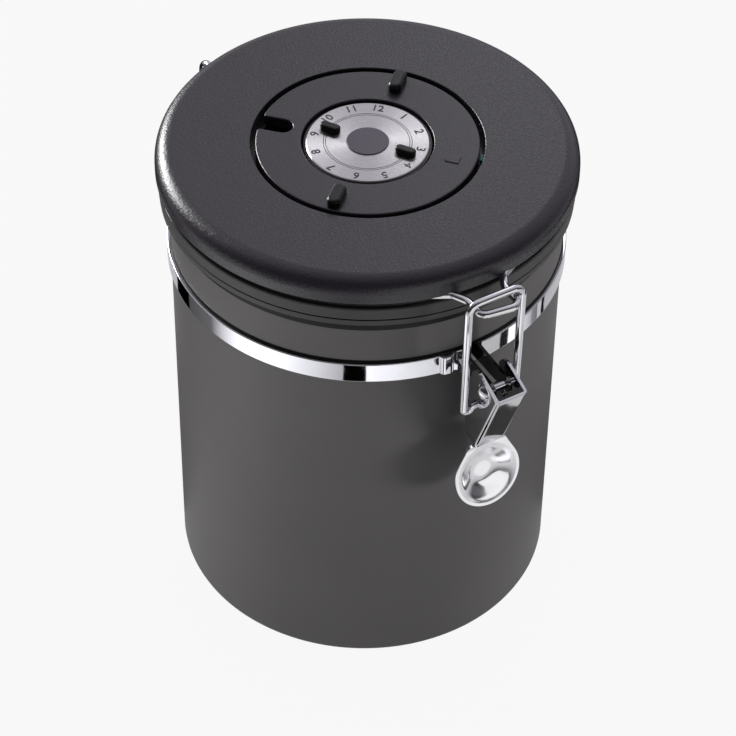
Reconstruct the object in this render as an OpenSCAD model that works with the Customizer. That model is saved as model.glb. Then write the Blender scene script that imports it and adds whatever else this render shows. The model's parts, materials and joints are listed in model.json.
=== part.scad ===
// Coffee canister with a one-way valve, a date dial in the lid and a wire latch.
// Origin: centre of the foot, +Z up. The latch is at -Y and the hinge at +Y.

/* [Canister] */
// Outer diameter of the canister wall
can_d = 124.4; // [104:0.2:150]
// Height from the table to the top of the collar
can_h = 158.4; // [130:0.2:200]
// Sheet thickness of the wall and the floor
wall_t = 0.8; // [0.6:0.1:1.5]
// Radius of the bottom edge
foot_edge_r = 3; // [2:0.5:6]
// How far the floor is pressed up from the table
floor_lift = 2; // [1:0.5:4]
// Width of the flat ring that the canister stands on
foot_ring_w = 5; // [3:0.5:8]

/* [Collar] */
// How far the collar stands out from the wall
collar_out = 3; // [2:0.1:4]
// Height of the upright face of the collar
collar_h = 4; // [3:0.1:6]
// Height of the rolled edge below that face
roll_h = 3; // [2:0.1:5]
// Thickness of the lip that covers the top of the wall
lip_t = 0.8; // [0.6:0.1:1.5]

/* [Strap] */
// Width of the polished strap
strap_w = 7.1; // [5:0.1:9]
// Thickness of the strap with its hem
strap_t = 1.2; // [1:0.1:2]
// Distance from the top of the collar down to the strap
strap_drop = 24.3; // [20:0.1:40]

/* [Lid] */
// How far the lid stands out past the canister wall
lid_out = 3.8; // [3.4:0.1:6]
// Gap between the collar and the lid's lower edge
lid_gap = 4.6; // [4.4:0.1:7]
// Height of the lid from its lower edge to its top
lid_h = 6.5; // [6.5:0.1:10]
// Radius of the rounded top edge
lid_edge_r = 5.3; // [3:0.1:6]
// Wall thickness of the lid
lid_wall = 2; // [1.5:0.1:2.4]
// Thickness of the seal where it lies on the collar
seal_t = 0.7; // [0.6:0.1:1.2]
// Thickness of the frame's flange under the wire
flange_t = 0.5; // [0.5:0.05:1]

/* [Wire] */
// Diameter of the hoop and bail wire
wire_d = 2.5; // [2:0.1:2.6]
// Distance from the lid's edge in to the middle of the hoop wire
hoop_inset = 4.4; // [3:0.1:5]
// Distance from the lid's edge out to the middle of the nose bar
nose_reach = 12.3; // [11:0.1:14]
// Width of the nose between the middles of its legs
nose_w = 12.8; // [11:0.1:13]
// Width at the root of the nose, where it joins the hoop
nose_root_w = 17.6; // [16:0.1:19]
// Length of the taper from that root to the nose's straight legs
nose_taper = 4.5; // [4:0.1:6]
// Radius of the nose's front corners
nose_corner_r = 2.8; // [2.5:0.1:5]
// Angle that the nose sits off the middle of the latch
nose_turn = -0.2; // [-0.5:0.05:0.5]
// Slant of the nose's front bar
nose_skew = 7.5; // [-8:0.5:8]

/* [Latch] */
// Distance from the canister wall out to the lever's pin
pin_out = 16.3; // [15:0.1:19]
// Diameter of the lever's pin
pin_d = 3; // [2.4:0.1:3.4]
// Width of the lever across both cheeks
lever_w = 10.8; // [9.5:0.1:11]
// Sheet thickness of lever and bracket
sheet_t = 0.9; // [0.7:0.1:1.2]
// Depth of the lever's channel at the pin
lever_depth = 14.4; // [13.5:0.1:15.5]
// Distance from the pin to the channel's rear edge
lever_rear = 7.3; // [6:0.1:8]
// Length of the channel below the pin
lever_len = 25.2; // [22:0.1:28]
// Angle that the lever leans in towards the canister
lever_lean = 21; // [12:1:28]
// Distance from the pin to the bail's holes
link_arm = 9.3; // [8.4:0.1:11]
// Angle of the bail's holes inside of the upright
link_angle = 25; // [20:0.5:28]
// Distance between the middles of the bail's legs
bail_w = 18.6; // [18.6:0.1:22]
// Radius of the bail's upper corners
bail_corner_r = 3.4; // [2.5:0.1:4]
// How far the bail has slid to one side in its play
bail_side = -0.25; // [-0.25:0.05:0.25]
// Diameter of the dished finger tab
tab_d = 23.2; // [19:0.2:26]
// Depth of the dish in the tab
tab_dish = 3.2; // [2:0.1:4]
// Angle that the tab kicks out from the upright
tab_kick = 14; // [5:1:20]

/* [Hinge] */
// Distance between the two hinge legs
hinge_w = 34.4; // [28:0.2:40]
// Distance from the canister wall out to the hinge legs
leg_out = 10; // [9:0.1:14]
// Diameter of the hinge pin
hinge_pin_d = 3; // [2:0.1:3.4]
// Angle that the hinge sits off straight behind the latch
hinge_turn = 2.2; // [-4:0.1:4]

/* [Dials] */
// Diameter of the hole in the lid that holds the dials
well_d = 72.8; // [66:0.2:80]
// Width of the groove round the outer dial
groove_w = 1.6; // [1:0.1:2.5]
// Diameter of the spun metal number plate
plate_d = 38.4; // [34:0.2:42]
// Diameter of the centre badge
badge_d = 13.2; // [11:0.2:16]
// Height of the grip ribs above the dial
rib_h = 3; // [1.5:0.1:4]
// Length of a grip rib
rib_len = 9.6; // [7:0.1:12]
// Width of a grip rib
rib_w = 4.4; // [3:0.1:6]
// Height of the lugs above the number plate
lug_h = 2.1; // [1:0.1:3]
// Direction of one of the two ribs, from +X
rib_angle = 41; // [0:1:180]
// Length of the raised arrow that points in at the numbers
mark_len = 5.7; // [4:0.1:7]
// Width of that arrow
mark_w = 3.2; // [2:0.1:4]
// Width of the notch in the outer dial
notch_w = 6.3; // [4:0.1:7]
// Length of the notch
notch_len = 10.6; // [8:0.1:12]
// Direction of the notch, from +X
notch_angle = 134.5; // [120:0.5:150]
// Direction of one of the two lugs, from +X
lug_angle = -56; // [-180:1:180]
// Direction of one of the three friction pads, from +X
pad_angle = -38; // [-60:1:60]

/* [Valve] */
// Outer diameter of the valve cup
cup_d = 38; // [34:0.2:44]
// How far the valve hangs below the lid frame
cup_drop = 7; // [5:0.5:12]
// Diameter of the silicone disc
disc_d = 16; // [12:0.2:20]
// How far the disc can lift off its seat
disc_lift = 0.6; // [0.3:0.1:1]

/* [Fits] */
// Radial clearance of pins and turning parts
run_fit = 0.08; // [0.05:0.01:0.1]
// Gap between parts that pass each other
pass_gap = 0.4; // [0.3:0.05:0.8]
// Height between nose wire and bail bar when the latch is shut
hook_gap = 0.8; // [0.7:0.05:1.2]

/* [Hidden] */
$fn = 96;

// Colours as photographed
paint_grey = [0.33, 0.33, 0.33];
lid_black = [0.28, 0.27, 0.30];
moulded_black = [0.07, 0.07, 0.07];
polished = [0.80, 0.80, 0.82];
spun_metal = [0.72, 0.71, 0.71];
badge_grey = [0.40, 0.38, 0.43];
silicone_clear = [0.80, 0.82, 0.80];
silicone_black = [0.06, 0.06, 0.06];
silicone_teal = [0.10, 0.52, 0.52];
felt_white = [0.90, 0.89, 0.85];

// Canister
can_r = can_d / 2;
bore_r = can_r - wall_t;
wall_top = can_h - lip_t;
strap_top = can_h - strap_drop;
strap_low = strap_top - strap_w;
strap_mid = strap_top - strap_w / 2;
strap_r = can_r + strap_t;
hem_t = strap_t / 2;
collar_r = can_r + collar_out;
collar_low = can_h - collar_h;
seam_h = 0.3;
seam_depth = 0.6;
roll_r = 0.8;
roll_back = 0.2;

// Lid levels, from the collar up
wire_r = wire_d / 2;
thick_wire_r = wire_r + 0.01;
tuck = 0.15;
flange_z = can_h + seal_t;
hoop_low = flange_z + flange_t;
hoop_z = hoop_low + wire_r;
lid_low = can_h + lid_gap;
lid_top = lid_low + lid_h;
lid_r = can_r + lid_out;
shell_bore = lid_r - lid_wall;
hoop_r = lid_r - hoop_inset;
frame_r = hoop_r - wire_r - 0.1;
flange_r = frame_r + wire_d + 1.1;
frame_plate_t = 1.5;
seal_w = 7;
bead_w = 2.3;
bead_r = bore_r - 4.6;
bead_drop = 1.5;

// Dials, from the lid's top down
well_r = well_d / 2;
dial_r = well_r - groove_w;
dial_top = lid_top - 0.1;
dial_t = 2;
dial_low = dial_top - dial_t;
plate_r = plate_d / 2;
rib_inset = 0.5;
rotor_r = plate_r + 0.8;
dial_bore_r = rotor_r + 0.6;
ledge_r = plate_r - 1;
plate_t = 0.6;
plate_top = dial_top - 0.3;
plate_low = plate_top - plate_t;
flange_low = plate_low - 0.45;
ledge_top = flange_low - run_fit;
well_floor = lid_top - 4.9;
well_t = 1.2;
well_low = well_floor - well_t;
tube_r = well_r + 1.6;
well_rim_r = tube_r;
post_r = 2.5;
post_foot_r = 5;
post_top = flange_low - 0.1;
hub_r = 6;
hub_low = well_floor + 0.6;
screw_head_r = 4;
screw_head_t = 0.85;
screw_shank_r = 1.25;
bearing_in = dial_bore_r + 2;
bearing_out = bearing_in + 2;
guide_t = 1;
skirt_t = 1.2;
badge_r = badge_d / 2;
badge_t = 0.35;
lug_r = 12.9;
lug_len = 6.8;
lug_w = 3;
rib_pitch_r = dial_r - rib_len / 2 - rib_inset;
vent_r = 1.5;
vent_pitch_r = 13;
vent_count = 6;
pad_count = 3;
pad_len = 3;
pad_w = groove_w - 0.5;
pad_h = 2.4;
mark_h = 0.3;
mark_r = 24.1;

// Frame and valve
boss_pitch_r = 47;
boss_r = 3;
screw_r = 1.2;
frame_screw_head_r = 2.4;
support_t = 2.4;
cup_r = cup_d / 2;
cup_wall = 1.4;
cup_top = well_low;
cup_low = hoop_low - cup_drop;
cup_rim_t = 1;
cup_rim_r = cup_r + 1.6;
gasket_t = 0.8;
seat_t = 1.2;
seat_z = hoop_low - 1.5;
disc_t = 1;
stem_r = 1;
port_r = 1.1;
port_pitch_r = 4.6;
cap_t = 1.2;
filter_t = 0.8;
cap_hole_r = 1.2;

// Latch
pin_y = -(can_r + pin_out);
pin_z = strap_mid - 0.65;
pin_r = pin_d / 2;
cheek_x = lever_w / 2;
ear_gap = 1.2;
ear_x = cheek_x - sheet_t - ear_gap;
ear_t = 1;
ear_end_r = 2.7;
rivet_head_r = 2.9;
rivet_head_h = 1.4;
link_y = pin_y + link_arm * sin(link_angle);
link_z = pin_z - link_arm * cos(link_angle);
bail_x = bail_w / 2;
bail_bar_z = hoop_z + wire_d + hook_gap;
bail_bar_y = pin_y + 3.4;
bail_len = norm([bail_bar_y - link_y, bail_bar_z - link_z]);
bail_tilt = atan2(bail_bar_y - link_y, bail_bar_z - link_z);
plate_half_w = ear_x + 2.2;
tab_r = tab_d / 2;
tab_rim_w = 1.9;
tab_floor_r = 4.3;
tab_down = 39;
tab_forward = 11.3;

// Hinge
hinge_x = hinge_w / 2;
hinge_pin_r = hinge_pin_d / 2;
eye_r = hinge_pin_r + run_fit + wire_r;
leg_y = can_r + leg_out;
hinge_y = leg_y - eye_r;
hinge_z = strap_mid;
leg_bend_r = 4.5;
root_bend_r = 4;
hinge_ear_t = 1.2;
hinge_ear_gap = wire_r + pass_gap;
hinge_ear_r = hinge_pin_r + 2;
hinge_plate_t = 1;
hinge_plate_half = hinge_x + hinge_ear_gap + hinge_ear_t + 2;

// Ring with a square section
module ring(outer_r, inner_r, low, high) {
    translate([0, 0, low]) difference() {
        cylinder(h = high - low, r = outer_r);
        translate([0, 0, -1]) cylinder(h = high - low + 2, r = inner_r);
    }
}

// The same shape repeated at equal angles
module around(count, pitch_r, start = 0) {
    for (i = [0 : count - 1])
        rotate([0, 0, start + i * 360 / count]) translate([pitch_r, 0, 0]) children();
}

// Flat bar with round ends, along X
module pill(len, wid, h) {
    half = (len - wid) / 2;
    linear_extrude(h) union() {
        square([2 * half, wid], center = true);
        for (s = [-1, 1]) translate([s * half, 0]) circle(d = wid);
    }
}

// Bent wire in the XY plane: straight runs between points, and an arc of its own radius at each inner point
function heading(a, b) = atan2(b[1] - a[1], b[0] - a[0]);
function turn(p, i) =
    let (d = heading(p[i], p[i + 1]) - heading(p[i - 1], p[i]))
    d > 180 ? d - 360 : d < -180 ? d + 360 : d;
function cutback(p, r, i) =
    i == 0 || i == len(p) - 1 ? 0 : r[i] * tan(abs(turn(p, i)) / 2);
function along(p, i, dist) = p[i] + dist * [cos(heading(p[i], p[i + 1])), sin(heading(p[i], p[i + 1]))];

// Runs and bends differ in thickness by a hair, and the thin ones end inside the thick ones
module bent_wire(p, r, thin_runs = true, past = 0) {
    last = len(p) - 1;
    run_tuck = thin_runs ? tuck : 0;
    bend_tuck = thin_runs ? 0 : tuck;
    for (i = [0 : last - 1]) {
        from = i == 0 ? 0 : cutback(p, r, i) - run_tuck;
        to = norm(p[i + 1] - p[i]) - (i == last - 1 ? -past : cutback(p, r, i + 1) - run_tuck);
        start = along(p, i, from);
        translate([start[0], start[1], 0]) rotate([0, 90, heading(p[i], p[i + 1])])
            cylinder(h = to - from, r = thin_runs ? wire_r : thick_wire_r);
    }
    for (i = [1 : last - 1]) {
        a = heading(p[i - 1], p[i]);
        d = turn(p, i);
        centre = p[i] - cutback(p, r, i) * [cos(a), sin(a)] + r[i] * sign(d) * [-sin(a), cos(a)];
        translate([centre[0], centre[1], 0]) rotate([0, 0, d > 0 ? a - 90 : a + 90 + d])
            wire_arc(r[i], abs(d), bend_tuck, bend_tuck, thin_runs ? thick_wire_r : wire_r);
    }
}

// Arc of wire from +X round towards +Y, longer at its start and end by the lengths given
module wire_arc(r, sweep, before, after, thickness) {
    degrees = 180 / PI / r;
    rotate([0, 0, -before * degrees]) rotate_extrude(angle = sweep + (before + after) * degrees)
        translate([r, 0]) circle(thickness);
}

module can_body() {
    foot_out = can_r - foot_edge_r;
    foot_in = foot_out - foot_ring_w;
    color(paint_grey) rotate_extrude() difference() {
        union() {
            translate([0, foot_edge_r]) square([can_r, wall_top - foot_edge_r]);
            square([foot_out, foot_edge_r]);
            translate([foot_out, foot_edge_r]) circle(foot_edge_r);
        }
        translate([0, floor_lift + wall_t]) square([bore_r, can_h]);
        square([foot_in, floor_lift]);
        translate([-can_r, -can_r]) square([can_r, can_h + can_r]);
    }
}

module collar_ring() {
    roll_low = collar_low - roll_h;
    roll_out = collar_out - roll_back;
    color(paint_grey) rotate_extrude() difference() {
        union() {
            translate([bore_r, collar_low]) square([collar_r - bore_r, collar_h]);
            translate([can_r, roll_low + roll_r]) square([roll_out, roll_h - roll_r]);
            translate([can_r, roll_low]) square([roll_out - roll_r, roll_h]);
            translate([can_r + roll_out - roll_r, roll_low + roll_r]) circle(roll_r);
        }
        translate([0, roll_low - 1]) square([can_r, wall_top - roll_low + 1]);
        translate([collar_r - seam_depth, collar_low - seam_h]) square([collar_out, seam_h]);
    }
}

module strap() {
    bump_x = cheek_x + 3.2;
    bump_r = 2;
    slot_x = ear_x + 0.2;
    color(polished) difference() {
        union() {
            ring(strap_r, can_r, strap_low, strap_top);
            translate([-bump_x, -strap_r + 0.6, strap_low]) cylinder(h = strap_w, r = bump_r);
        }
        translate([0, 0, strap_low - 1]) cylinder(h = strap_w + 2, r = can_r);
        translate([-slot_x, -strap_r - 1, strap_low - 1]) cube([2 * slot_x, strap_t + 3, strap_w + 2]);
        latch_plate(0.02, 0.1);
    }
}

// Curved plate under the strap's ends; grow widens it for the pocket in the strap
module latch_plate(grow, side_grow) {
    low = strap_low - grow;
    high = strap_top + grow;
    half = plate_half_w + side_grow;
    intersection() {
        ring(can_r + hem_t + grow, can_r - grow, low, high);
        translate([-half, -can_r - strap_t - 1, low]) cube([2 * half, can_r, high - low]);
    }
}

module latch_bracket() {
    root = can_r + hem_t / 2;
    color(polished) difference() {
        union() {
            latch_plate(0, 0);
            for (s = [-1, 1]) translate([s * (ear_x - ear_t / 2), 0, 0]) latch_ear(root);
        }
        translate([0, 0, strap_low - 1]) cylinder(h = strap_w + 2, r = can_r);
        translate([-cheek_x, pin_y, pin_z]) rotate([0, 90, 0]) cylinder(h = lever_w, r = pin_r);
    }
}

module latch_ear(root) {
    translate([-ear_t / 2, 0, 0]) rotate([90, 0, 90]) linear_extrude(ear_t) hull() {
        translate([pin_y, pin_z]) circle(ear_end_r, $fn = 48);
        translate([-root, strap_low]) square([1, strap_w - 0.8]);
    }
}

module lever_pin() {
    head_x = cheek_x + 0.1;
    bend_r = (rivet_head_r * rivet_head_r + rivet_head_h * rivet_head_h) / (2 * rivet_head_h);
    color(polished) translate([0, pin_y, pin_z]) rotate([0, 90, 0]) {
        translate([0, 0, -head_x]) cylinder(h = 2 * head_x, r = pin_r);
        for (s = [0, 1]) mirror([0, 0, s]) translate([0, 0, head_x]) intersection() {
            translate([0, 0, rivet_head_h - bend_r]) sphere(bend_r);
            cylinder(h = rivet_head_h, r = rivet_head_r);
        }
    }
}

module hinge_bracket() {
    low = strap_low - 0.3;
    high = strap_top + 0.3;
    color(polished) rotate([0, 0, hinge_turn]) difference() {
        union() {
            intersection() {
                ring(strap_r + hinge_plate_t, strap_r, low, high);
                translate([-hinge_plate_half, 0, low])
                    cube([2 * hinge_plate_half, can_d, high - low]);
            }
            for (s = [-1, 1], k = [-1, 1])
                translate([s * hinge_x + k * (hinge_ear_gap + hinge_ear_t / 2), 0, 0]) hinge_ear();
        }
        translate([0, 0, low - 1]) cylinder(h = high - low + 2, r = strap_r);
        translate([-can_r, hinge_y, hinge_z]) rotate([0, 90, 0]) cylinder(h = can_d, r = hinge_pin_r);
    }
}

module hinge_ear() {
    root_y = sqrt(strap_r * strap_r - hinge_plate_half * hinge_plate_half);
    translate([-hinge_ear_t / 2, 0, 0]) rotate([90, 0, 90]) linear_extrude(hinge_ear_t) union() {
        translate([hinge_y, hinge_z]) circle(hinge_ear_r);
        translate([root_y, hinge_z - hinge_ear_r])
            square([hinge_y - root_y, 2 * hinge_ear_r]);
    }
}

module hinge_pin() {
    half = hinge_x + hinge_ear_gap + hinge_ear_t;
    color(polished) rotate([0, 0, hinge_turn]) translate([0, hinge_y, hinge_z]) rotate([0, 90, 0]) {
        translate([0, 0, -half]) cylinder(h = 2 * half, r = hinge_pin_r);
        for (s = [0, 1]) mirror([0, 0, s]) translate([0, 0, half])
            cylinder(h = 0.8, r = hinge_pin_r + 0.8);
    }
}

// Lever in its own frame: pin at the origin, channel hanging down, web towards -Y
module lever() {
    web_y = -(lever_depth - lever_rear);
    link_back = link_arm * sin(lever_lean - link_angle);
    link_down = link_arm * cos(lever_lean - link_angle);
    color(polished) translate([0, pin_y, pin_z]) rotate([lever_lean, 0, 0]) difference() {
        union() {
            difference() {
                lever_side(web_y, 0, lever_w);
                translate([0, sheet_t, 0]) lever_side(web_y, 2, lever_w - 2 * sheet_t);
            }
            lever_neck(web_y);
            lever_tab();
        }
        rotate([0, 90, 0]) cylinder(h = lever_w + 2, r = pin_r + run_fit, center = true);
        translate([0, -link_back, -link_down]) rotate([0, 90, 0])
            cylinder(h = lever_w + 2, r = wire_r + run_fit, center = true);
    }
}

// Side outline of the channel, as wide as asked and longer at both ends by grow
module lever_side(web_y, grow, wid) {
    top = 4.4 + grow;
    low = -lever_len - grow;
    translate([-wid / 2, 0, 0]) rotate([90, 0, 90]) linear_extrude(wid) polygon([
        [web_y, top], [lever_rear - 2.7, top], [lever_rear - 0.7, top - 1.5],
        [lever_rear, 0.3 + grow], [lever_rear - 5.5, low + 5.2], [web_y + 4.7, low - 0.8], [web_y, low]
    ]);
}

// Sloping sheet that joins the web to the tab
module lever_neck(web_y) {
    drop = tab_down - tab_r * cos(lever_lean + tab_kick);
    inner_y = -(tab_forward - tab_r * sin(lever_lean + tab_kick));
    translate([-cheek_x, 0, 0]) rotate([90, 0, 90]) linear_extrude(lever_w) polygon([
        [web_y, -lever_len + 1.5], [web_y + sheet_t, -lever_len + 1.5],
        [inner_y + sheet_t, -drop], [inner_y + 0.6, -drop - 4],
        [inner_y - sheet_t + 0.6, -drop - 4], [inner_y, -drop]
    ]);
}

// Dished round tab, kicked out from the lever's line
module lever_tab() {
    translate([0, -tab_forward, -tab_down]) rotate([90 - lever_lean - tab_kick, 0, 0]) rotate_extrude()
        difference() {
            union() {
                translate([0, -sheet_t / 2]) square([tab_r, sheet_t]);
                polygon([
                    [0, -sheet_t / 2], [tab_r - tab_rim_w + sheet_t, -sheet_t / 2],
                    [tab_floor_r + sheet_t, -tab_dish - sheet_t / 2], [0, -tab_dish - sheet_t / 2]
                ]);
            }
            polygon([
                [-1, sheet_t], [tab_r - tab_rim_w, sheet_t], [tab_r - tab_rim_w, sheet_t / 2],
                [tab_floor_r, -tab_dish + sheet_t / 2], [-1, -tab_dish + sheet_t / 2]
            ]);
        }
}

// Each foot turns in and up again below the lever, then passes through its cheek
module bail() {
    stub_x = ear_x + 0.5;
    foot_x = cheek_x + 1.05;
    foot_drop = 5.2;
    foot_bend_r = 1.3;
    color(polished) translate([bail_side, link_y, link_z]) rotate([90 - bail_tilt, 0, 0])
        for (s = [0, 1]) mirror([s, 0, 0]) bent_wire(
            [[0, bail_len], [bail_x, bail_len], [bail_x, -foot_drop], [foot_x, 0], [stub_x, 0]],
            [0, bail_corner_r, foot_bend_r, foot_bend_r, 0]
        );
}

module lid_shell() {
    corner_r = lid_r - lid_edge_r;
    inner_edge_r = max(lid_edge_r - lid_wall, 0.5);
    inner_corner = shell_bore - inner_edge_r;
    inner_top = lid_top - lid_wall;
    color(lid_black) difference() {
        union() {
            rotate_extrude() difference() {
                union() {
                    translate([0, lid_low]) square([lid_r, lid_h - lid_edge_r]);
                    translate([0, lid_low]) square([corner_r, lid_h]);
                    translate([corner_r, lid_top - lid_edge_r]) circle(lid_edge_r);
                }
                translate([0, lid_low - 1]) square([inner_corner, inner_top - lid_low + 1]);
                translate([0, lid_low - 1]) square([shell_bore, inner_top - inner_edge_r - lid_low + 1]);
                translate([inner_corner, inner_top - inner_edge_r]) circle(inner_edge_r);
                translate([0, lid_low - lid_edge_r]) square([lid_r + 1, lid_edge_r]);
                translate([-lid_r, 0]) square([lid_r, lid_top + 1]);
            }
            ring(tube_r, well_r, well_floor, lid_top);
            around(4, boss_pitch_r, 45)
                translate([0, 0, hoop_low + frame_plate_t]) cylinder(h = inner_top - hoop_low - frame_plate_t, r = boss_r);
        }
        translate([0, 0, lid_low - 3]) cylinder(h = lid_h + 5, r = well_r);
        around(4, boss_pitch_r, 45)
            translate([0, 0, lid_low - 3]) cylinder(h = inner_top - lid_low + 2, r = screw_r);
    }
}

// Hoop, nose and hinge legs in one bent wire, made as two mirrored halves
module hoop_wire() {
    nose_y = -(lid_r + nose_reach);
    root_y = -(lid_r - 0.7);
    root_x = nose_root_w / 2;
    root_dist = norm([root_x, root_y]);
    touch = atan2(root_x, -root_y) + acos(hoop_r / root_dist);
    touch_pt = hoop_r * [sin(touch), -cos(touch)];
    rear_x = hinge_x + root_bend_r;
    rear_y = sqrt(pow(hoop_r + root_bend_r, 2) - rear_x * rear_x);
    rear_angle = atan2(rear_y, rear_x);
    eye_open = acos(1 - (wire_d + 0.15) / eye_r);
    color(polished) translate([0, 0, hoop_z]) for (side = [1, -1]) mirror([side < 0 ? 1 : 0, 0, 0]) {
        from = touch - 90 + side * nose_turn;
        leg_x = nose_w / 2;
        corner_y = nose_y - side * leg_x * tan(nose_skew);
        rotate([0, 0, side * nose_turn]) bent_wire(
            [[0, nose_y], [leg_x, corner_y], [leg_x, root_y - nose_taper], [root_x, root_y], touch_pt],
            [0, nose_corner_r, 6, 3, 0], past = tuck
        );
        rotate([0, 0, from]) wire_arc(hoop_r, rear_angle + side * hinge_turn - from, 0, 0, thick_wire_r);
        rotate([0, 0, side * hinge_turn]) {
            translate([rear_x, rear_y, 0]) rotate([0, 0, 180])
                wire_arc(root_bend_r, rear_angle, tuck, tuck, wire_r);
            translate([hinge_x, 0, 0]) rotate([90, 0, 90]) {
                bent_wire(
                    [[rear_y, 0], [leg_y, 0], [leg_y, hinge_z - hoop_z]],
                    [0, leg_bend_r, 0], thin_runs = false
                );
                translate([hinge_y, hinge_z - hoop_z]) rotate([180, 0, 0])
                    wire_arc(eye_r, 360 - eye_open, tuck, 0, wire_r);
            }
        }
    }
}

module lid_frame() {
    hole_r = cup_r + pass_gap;
    plate_top_z = hoop_low + frame_plate_t;
    color(moulded_black) difference() {
        union() {
            ring(flange_r, hole_r, flange_z, hoop_low);
            ring(frame_r, frame_r - support_t, hoop_low, lid_low);
            ring(frame_r, hole_r, hoop_low, plate_top_z);
            ring(well_rim_r, well_rim_r - support_t, plate_top_z, well_low);
        }
        ring(bead_r - 0.6, bead_r - bead_w + 0.6, flange_z - 1, flange_z + 0.9);
        around(4, boss_pitch_r, 45) {
            translate([0, 0, flange_z - 1]) cylinder(h = frame_plate_t + flange_t + 2, r = screw_r);
            translate([0, 0, flange_z - 1]) cylinder(h = 1.8, r = frame_screw_head_r + 0.2);
        }
        ring(cup_rim_r + 0.2, hole_r - 1, plate_top_z - gasket_t, plate_top_z + 1);
    }
}

module lid_seal() {
    color(silicone_black) {
        ring(bead_r + seal_w, bead_r - bead_w, can_h, flange_z);
        ring(bead_r, bead_r - bead_w, can_h - bead_drop, can_h);
        ring(bead_r - 0.6, bead_r - bead_w + 0.6, flange_z, flange_z + 0.9);
    }
}

module lid_screws() {
    head_t = 0.8;
    color(polished) around(4, boss_pitch_r, 45) difference() {
        union() {
            translate([0, 0, flange_z]) cylinder(h = head_t, r = frame_screw_head_r);
            translate([0, 0, flange_z]) cylinder(h = frame_plate_t + flange_t + 3.4, r = screw_r);
        }
        for (a = [0, 90]) translate([0, 0, flange_z]) rotate([0, 0, a])
            cube([2.6, 0.6, 0.8], center = true);
    }
}

module dial_well() {
    color(moulded_black) difference() {
        union() {
            translate([0, 0, well_low]) cylinder(h = well_t, r = well_rim_r);
            translate([0, 0, well_floor]) cylinder(h = post_top - well_floor, r = post_r);
            translate([0, 0, well_floor]) cylinder(h = hub_low - well_floor - run_fit, r = post_foot_r);
            ring(bearing_out, bearing_in, well_floor, dial_low - run_fit);
        }
        translate([0, 0, well_floor - 0.4]) cylinder(h = 10, r = screw_shank_r);
        around(vent_count, vent_pitch_r) translate([0, 0, well_low - 1]) cylinder(h = 4, r = vent_r);
    }
}

module dial_pads() {
    color(silicone_teal) around(pad_count, dial_r + 0.2 + pad_w / 2, pad_angle)
        translate([-pad_w / 2, -pad_len / 2, well_floor]) cube([pad_w, pad_len, pad_h]);
}

module day_dial() {
    color(lid_black) difference() {
        union() {
            ring(dial_r, dial_bore_r, dial_low, dial_top);
            ring(dial_bore_r, ledge_r, dial_low, ledge_top);
            ring(bearing_out + run_fit + guide_t, bearing_out + run_fit, well_floor + 1, dial_low);
            ring(dial_r, dial_r - skirt_t, well_floor + 0.8, dial_low);
            around(2, rib_pitch_r, rib_angle) grip_rib();
            rotate([0, 0, rib_angle - 90]) translate([mark_r, 0, dial_top]) pointer_mark();
        }
        rotate([0, 0, notch_angle]) translate([dial_r - notch_len + notch_w / 2, 0, well_floor + 0.5]) {
            cylinder(h = lid_h, r = notch_w / 2);
            translate([0, -notch_w / 2, 0]) cube([notch_len, notch_w, lid_h]);
        }
    }
}

// Rib with a softened top edge, standing on the dial
module grip_rib() {
    soft = 0.6;
    translate([0, 0, dial_top - 0.2]) pill(rib_len, rib_w, rib_h + 0.2 - soft);
    translate([0, 0, dial_top + rib_h - soft]) pill(rib_len - soft, rib_w - soft, soft);
}

// Small raised arrow with its tip at the origin, pointing in at the numbers
module pointer_mark() {
    half = mark_w / 2;
    head = mark_len / 4;
    translate([0, 0, -0.1]) linear_extrude(mark_h + 0.1) polygon([
        [0, 0], [head, half], [mark_len, half], [mark_len, -half], [head, -half]
    ]);
}

module month_rotor() {
    color(moulded_black) difference() {
        union() {
            translate([0, 0, flange_low]) cylinder(h = plate_low - flange_low, r = rotor_r);
            translate([0, 0, hub_low]) cylinder(h = flange_low - hub_low, r = hub_r);
            for (s = [0, 1]) rotate([0, 0, lug_angle + 180 * s]) translate([lug_r, 0, flange_low])
                pill(lug_len, lug_w, plate_top + lug_h - flange_low);
        }
        translate([0, 0, hub_low - 1]) cylinder(h = 10, r = post_r + run_fit);
        translate([0, 0, post_top - run_fit]) cylinder(h = 10, r = screw_head_r + 0.3);
    }
}

module number_plate() {
    color(spun_metal) difference() {
        translate([0, 0, plate_low]) cylinder(h = plate_t, r = plate_r);
        translate([0, 0, plate_low - 1]) cylinder(h = 3, r = screw_head_r + 0.6);
        for (s = [0, 1]) rotate([0, 0, lug_angle + 180 * s]) translate([lug_r, 0, plate_low - 1])
            pill(lug_len + 0.2, lug_w + 0.2, 3);
    }
}

module centre_badge() {
    color(badge_grey) translate([0, 0, plate_top]) cylinder(h = badge_t, r = badge_r);
}

module rotor_screw() {
    shank = post_top - well_floor - 0.2;
    color(polished) {
        translate([0, 0, post_top]) cylinder(h = screw_head_t, r = screw_head_r);
        translate([0, 0, post_top - shank]) cylinder(h = shank, r = screw_shank_r);
    }
}

module valve_cup() {
    rim_low = hoop_low + frame_plate_t;
    color(moulded_black) difference() {
        union() {
            translate([0, 0, cup_low]) cylinder(h = cup_top - cup_low, r = cup_r);
            translate([0, 0, rim_low]) cylinder(h = cup_rim_t, r = cup_rim_r);
        }
        translate([0, 0, seat_z]) cylinder(h = 20, r = cup_r - cup_wall);
        translate([0, 0, cup_low - 1]) cylinder(h = seat_z - seat_t - cup_low + 1, r = cup_r - cup_wall);
        translate([0, 0, cup_low]) cylinder(h = 20, r = stem_r + run_fit);
        around(vent_count, port_pitch_r) translate([0, 0, cup_low]) cylinder(h = 20, r = port_r);
    }
}

module valve_gasket() {
    top = hoop_low + frame_plate_t;
    color(silicone_clear) ring(cup_rim_r, cup_r + 0.1, top - gasket_t, top);
}

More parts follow.
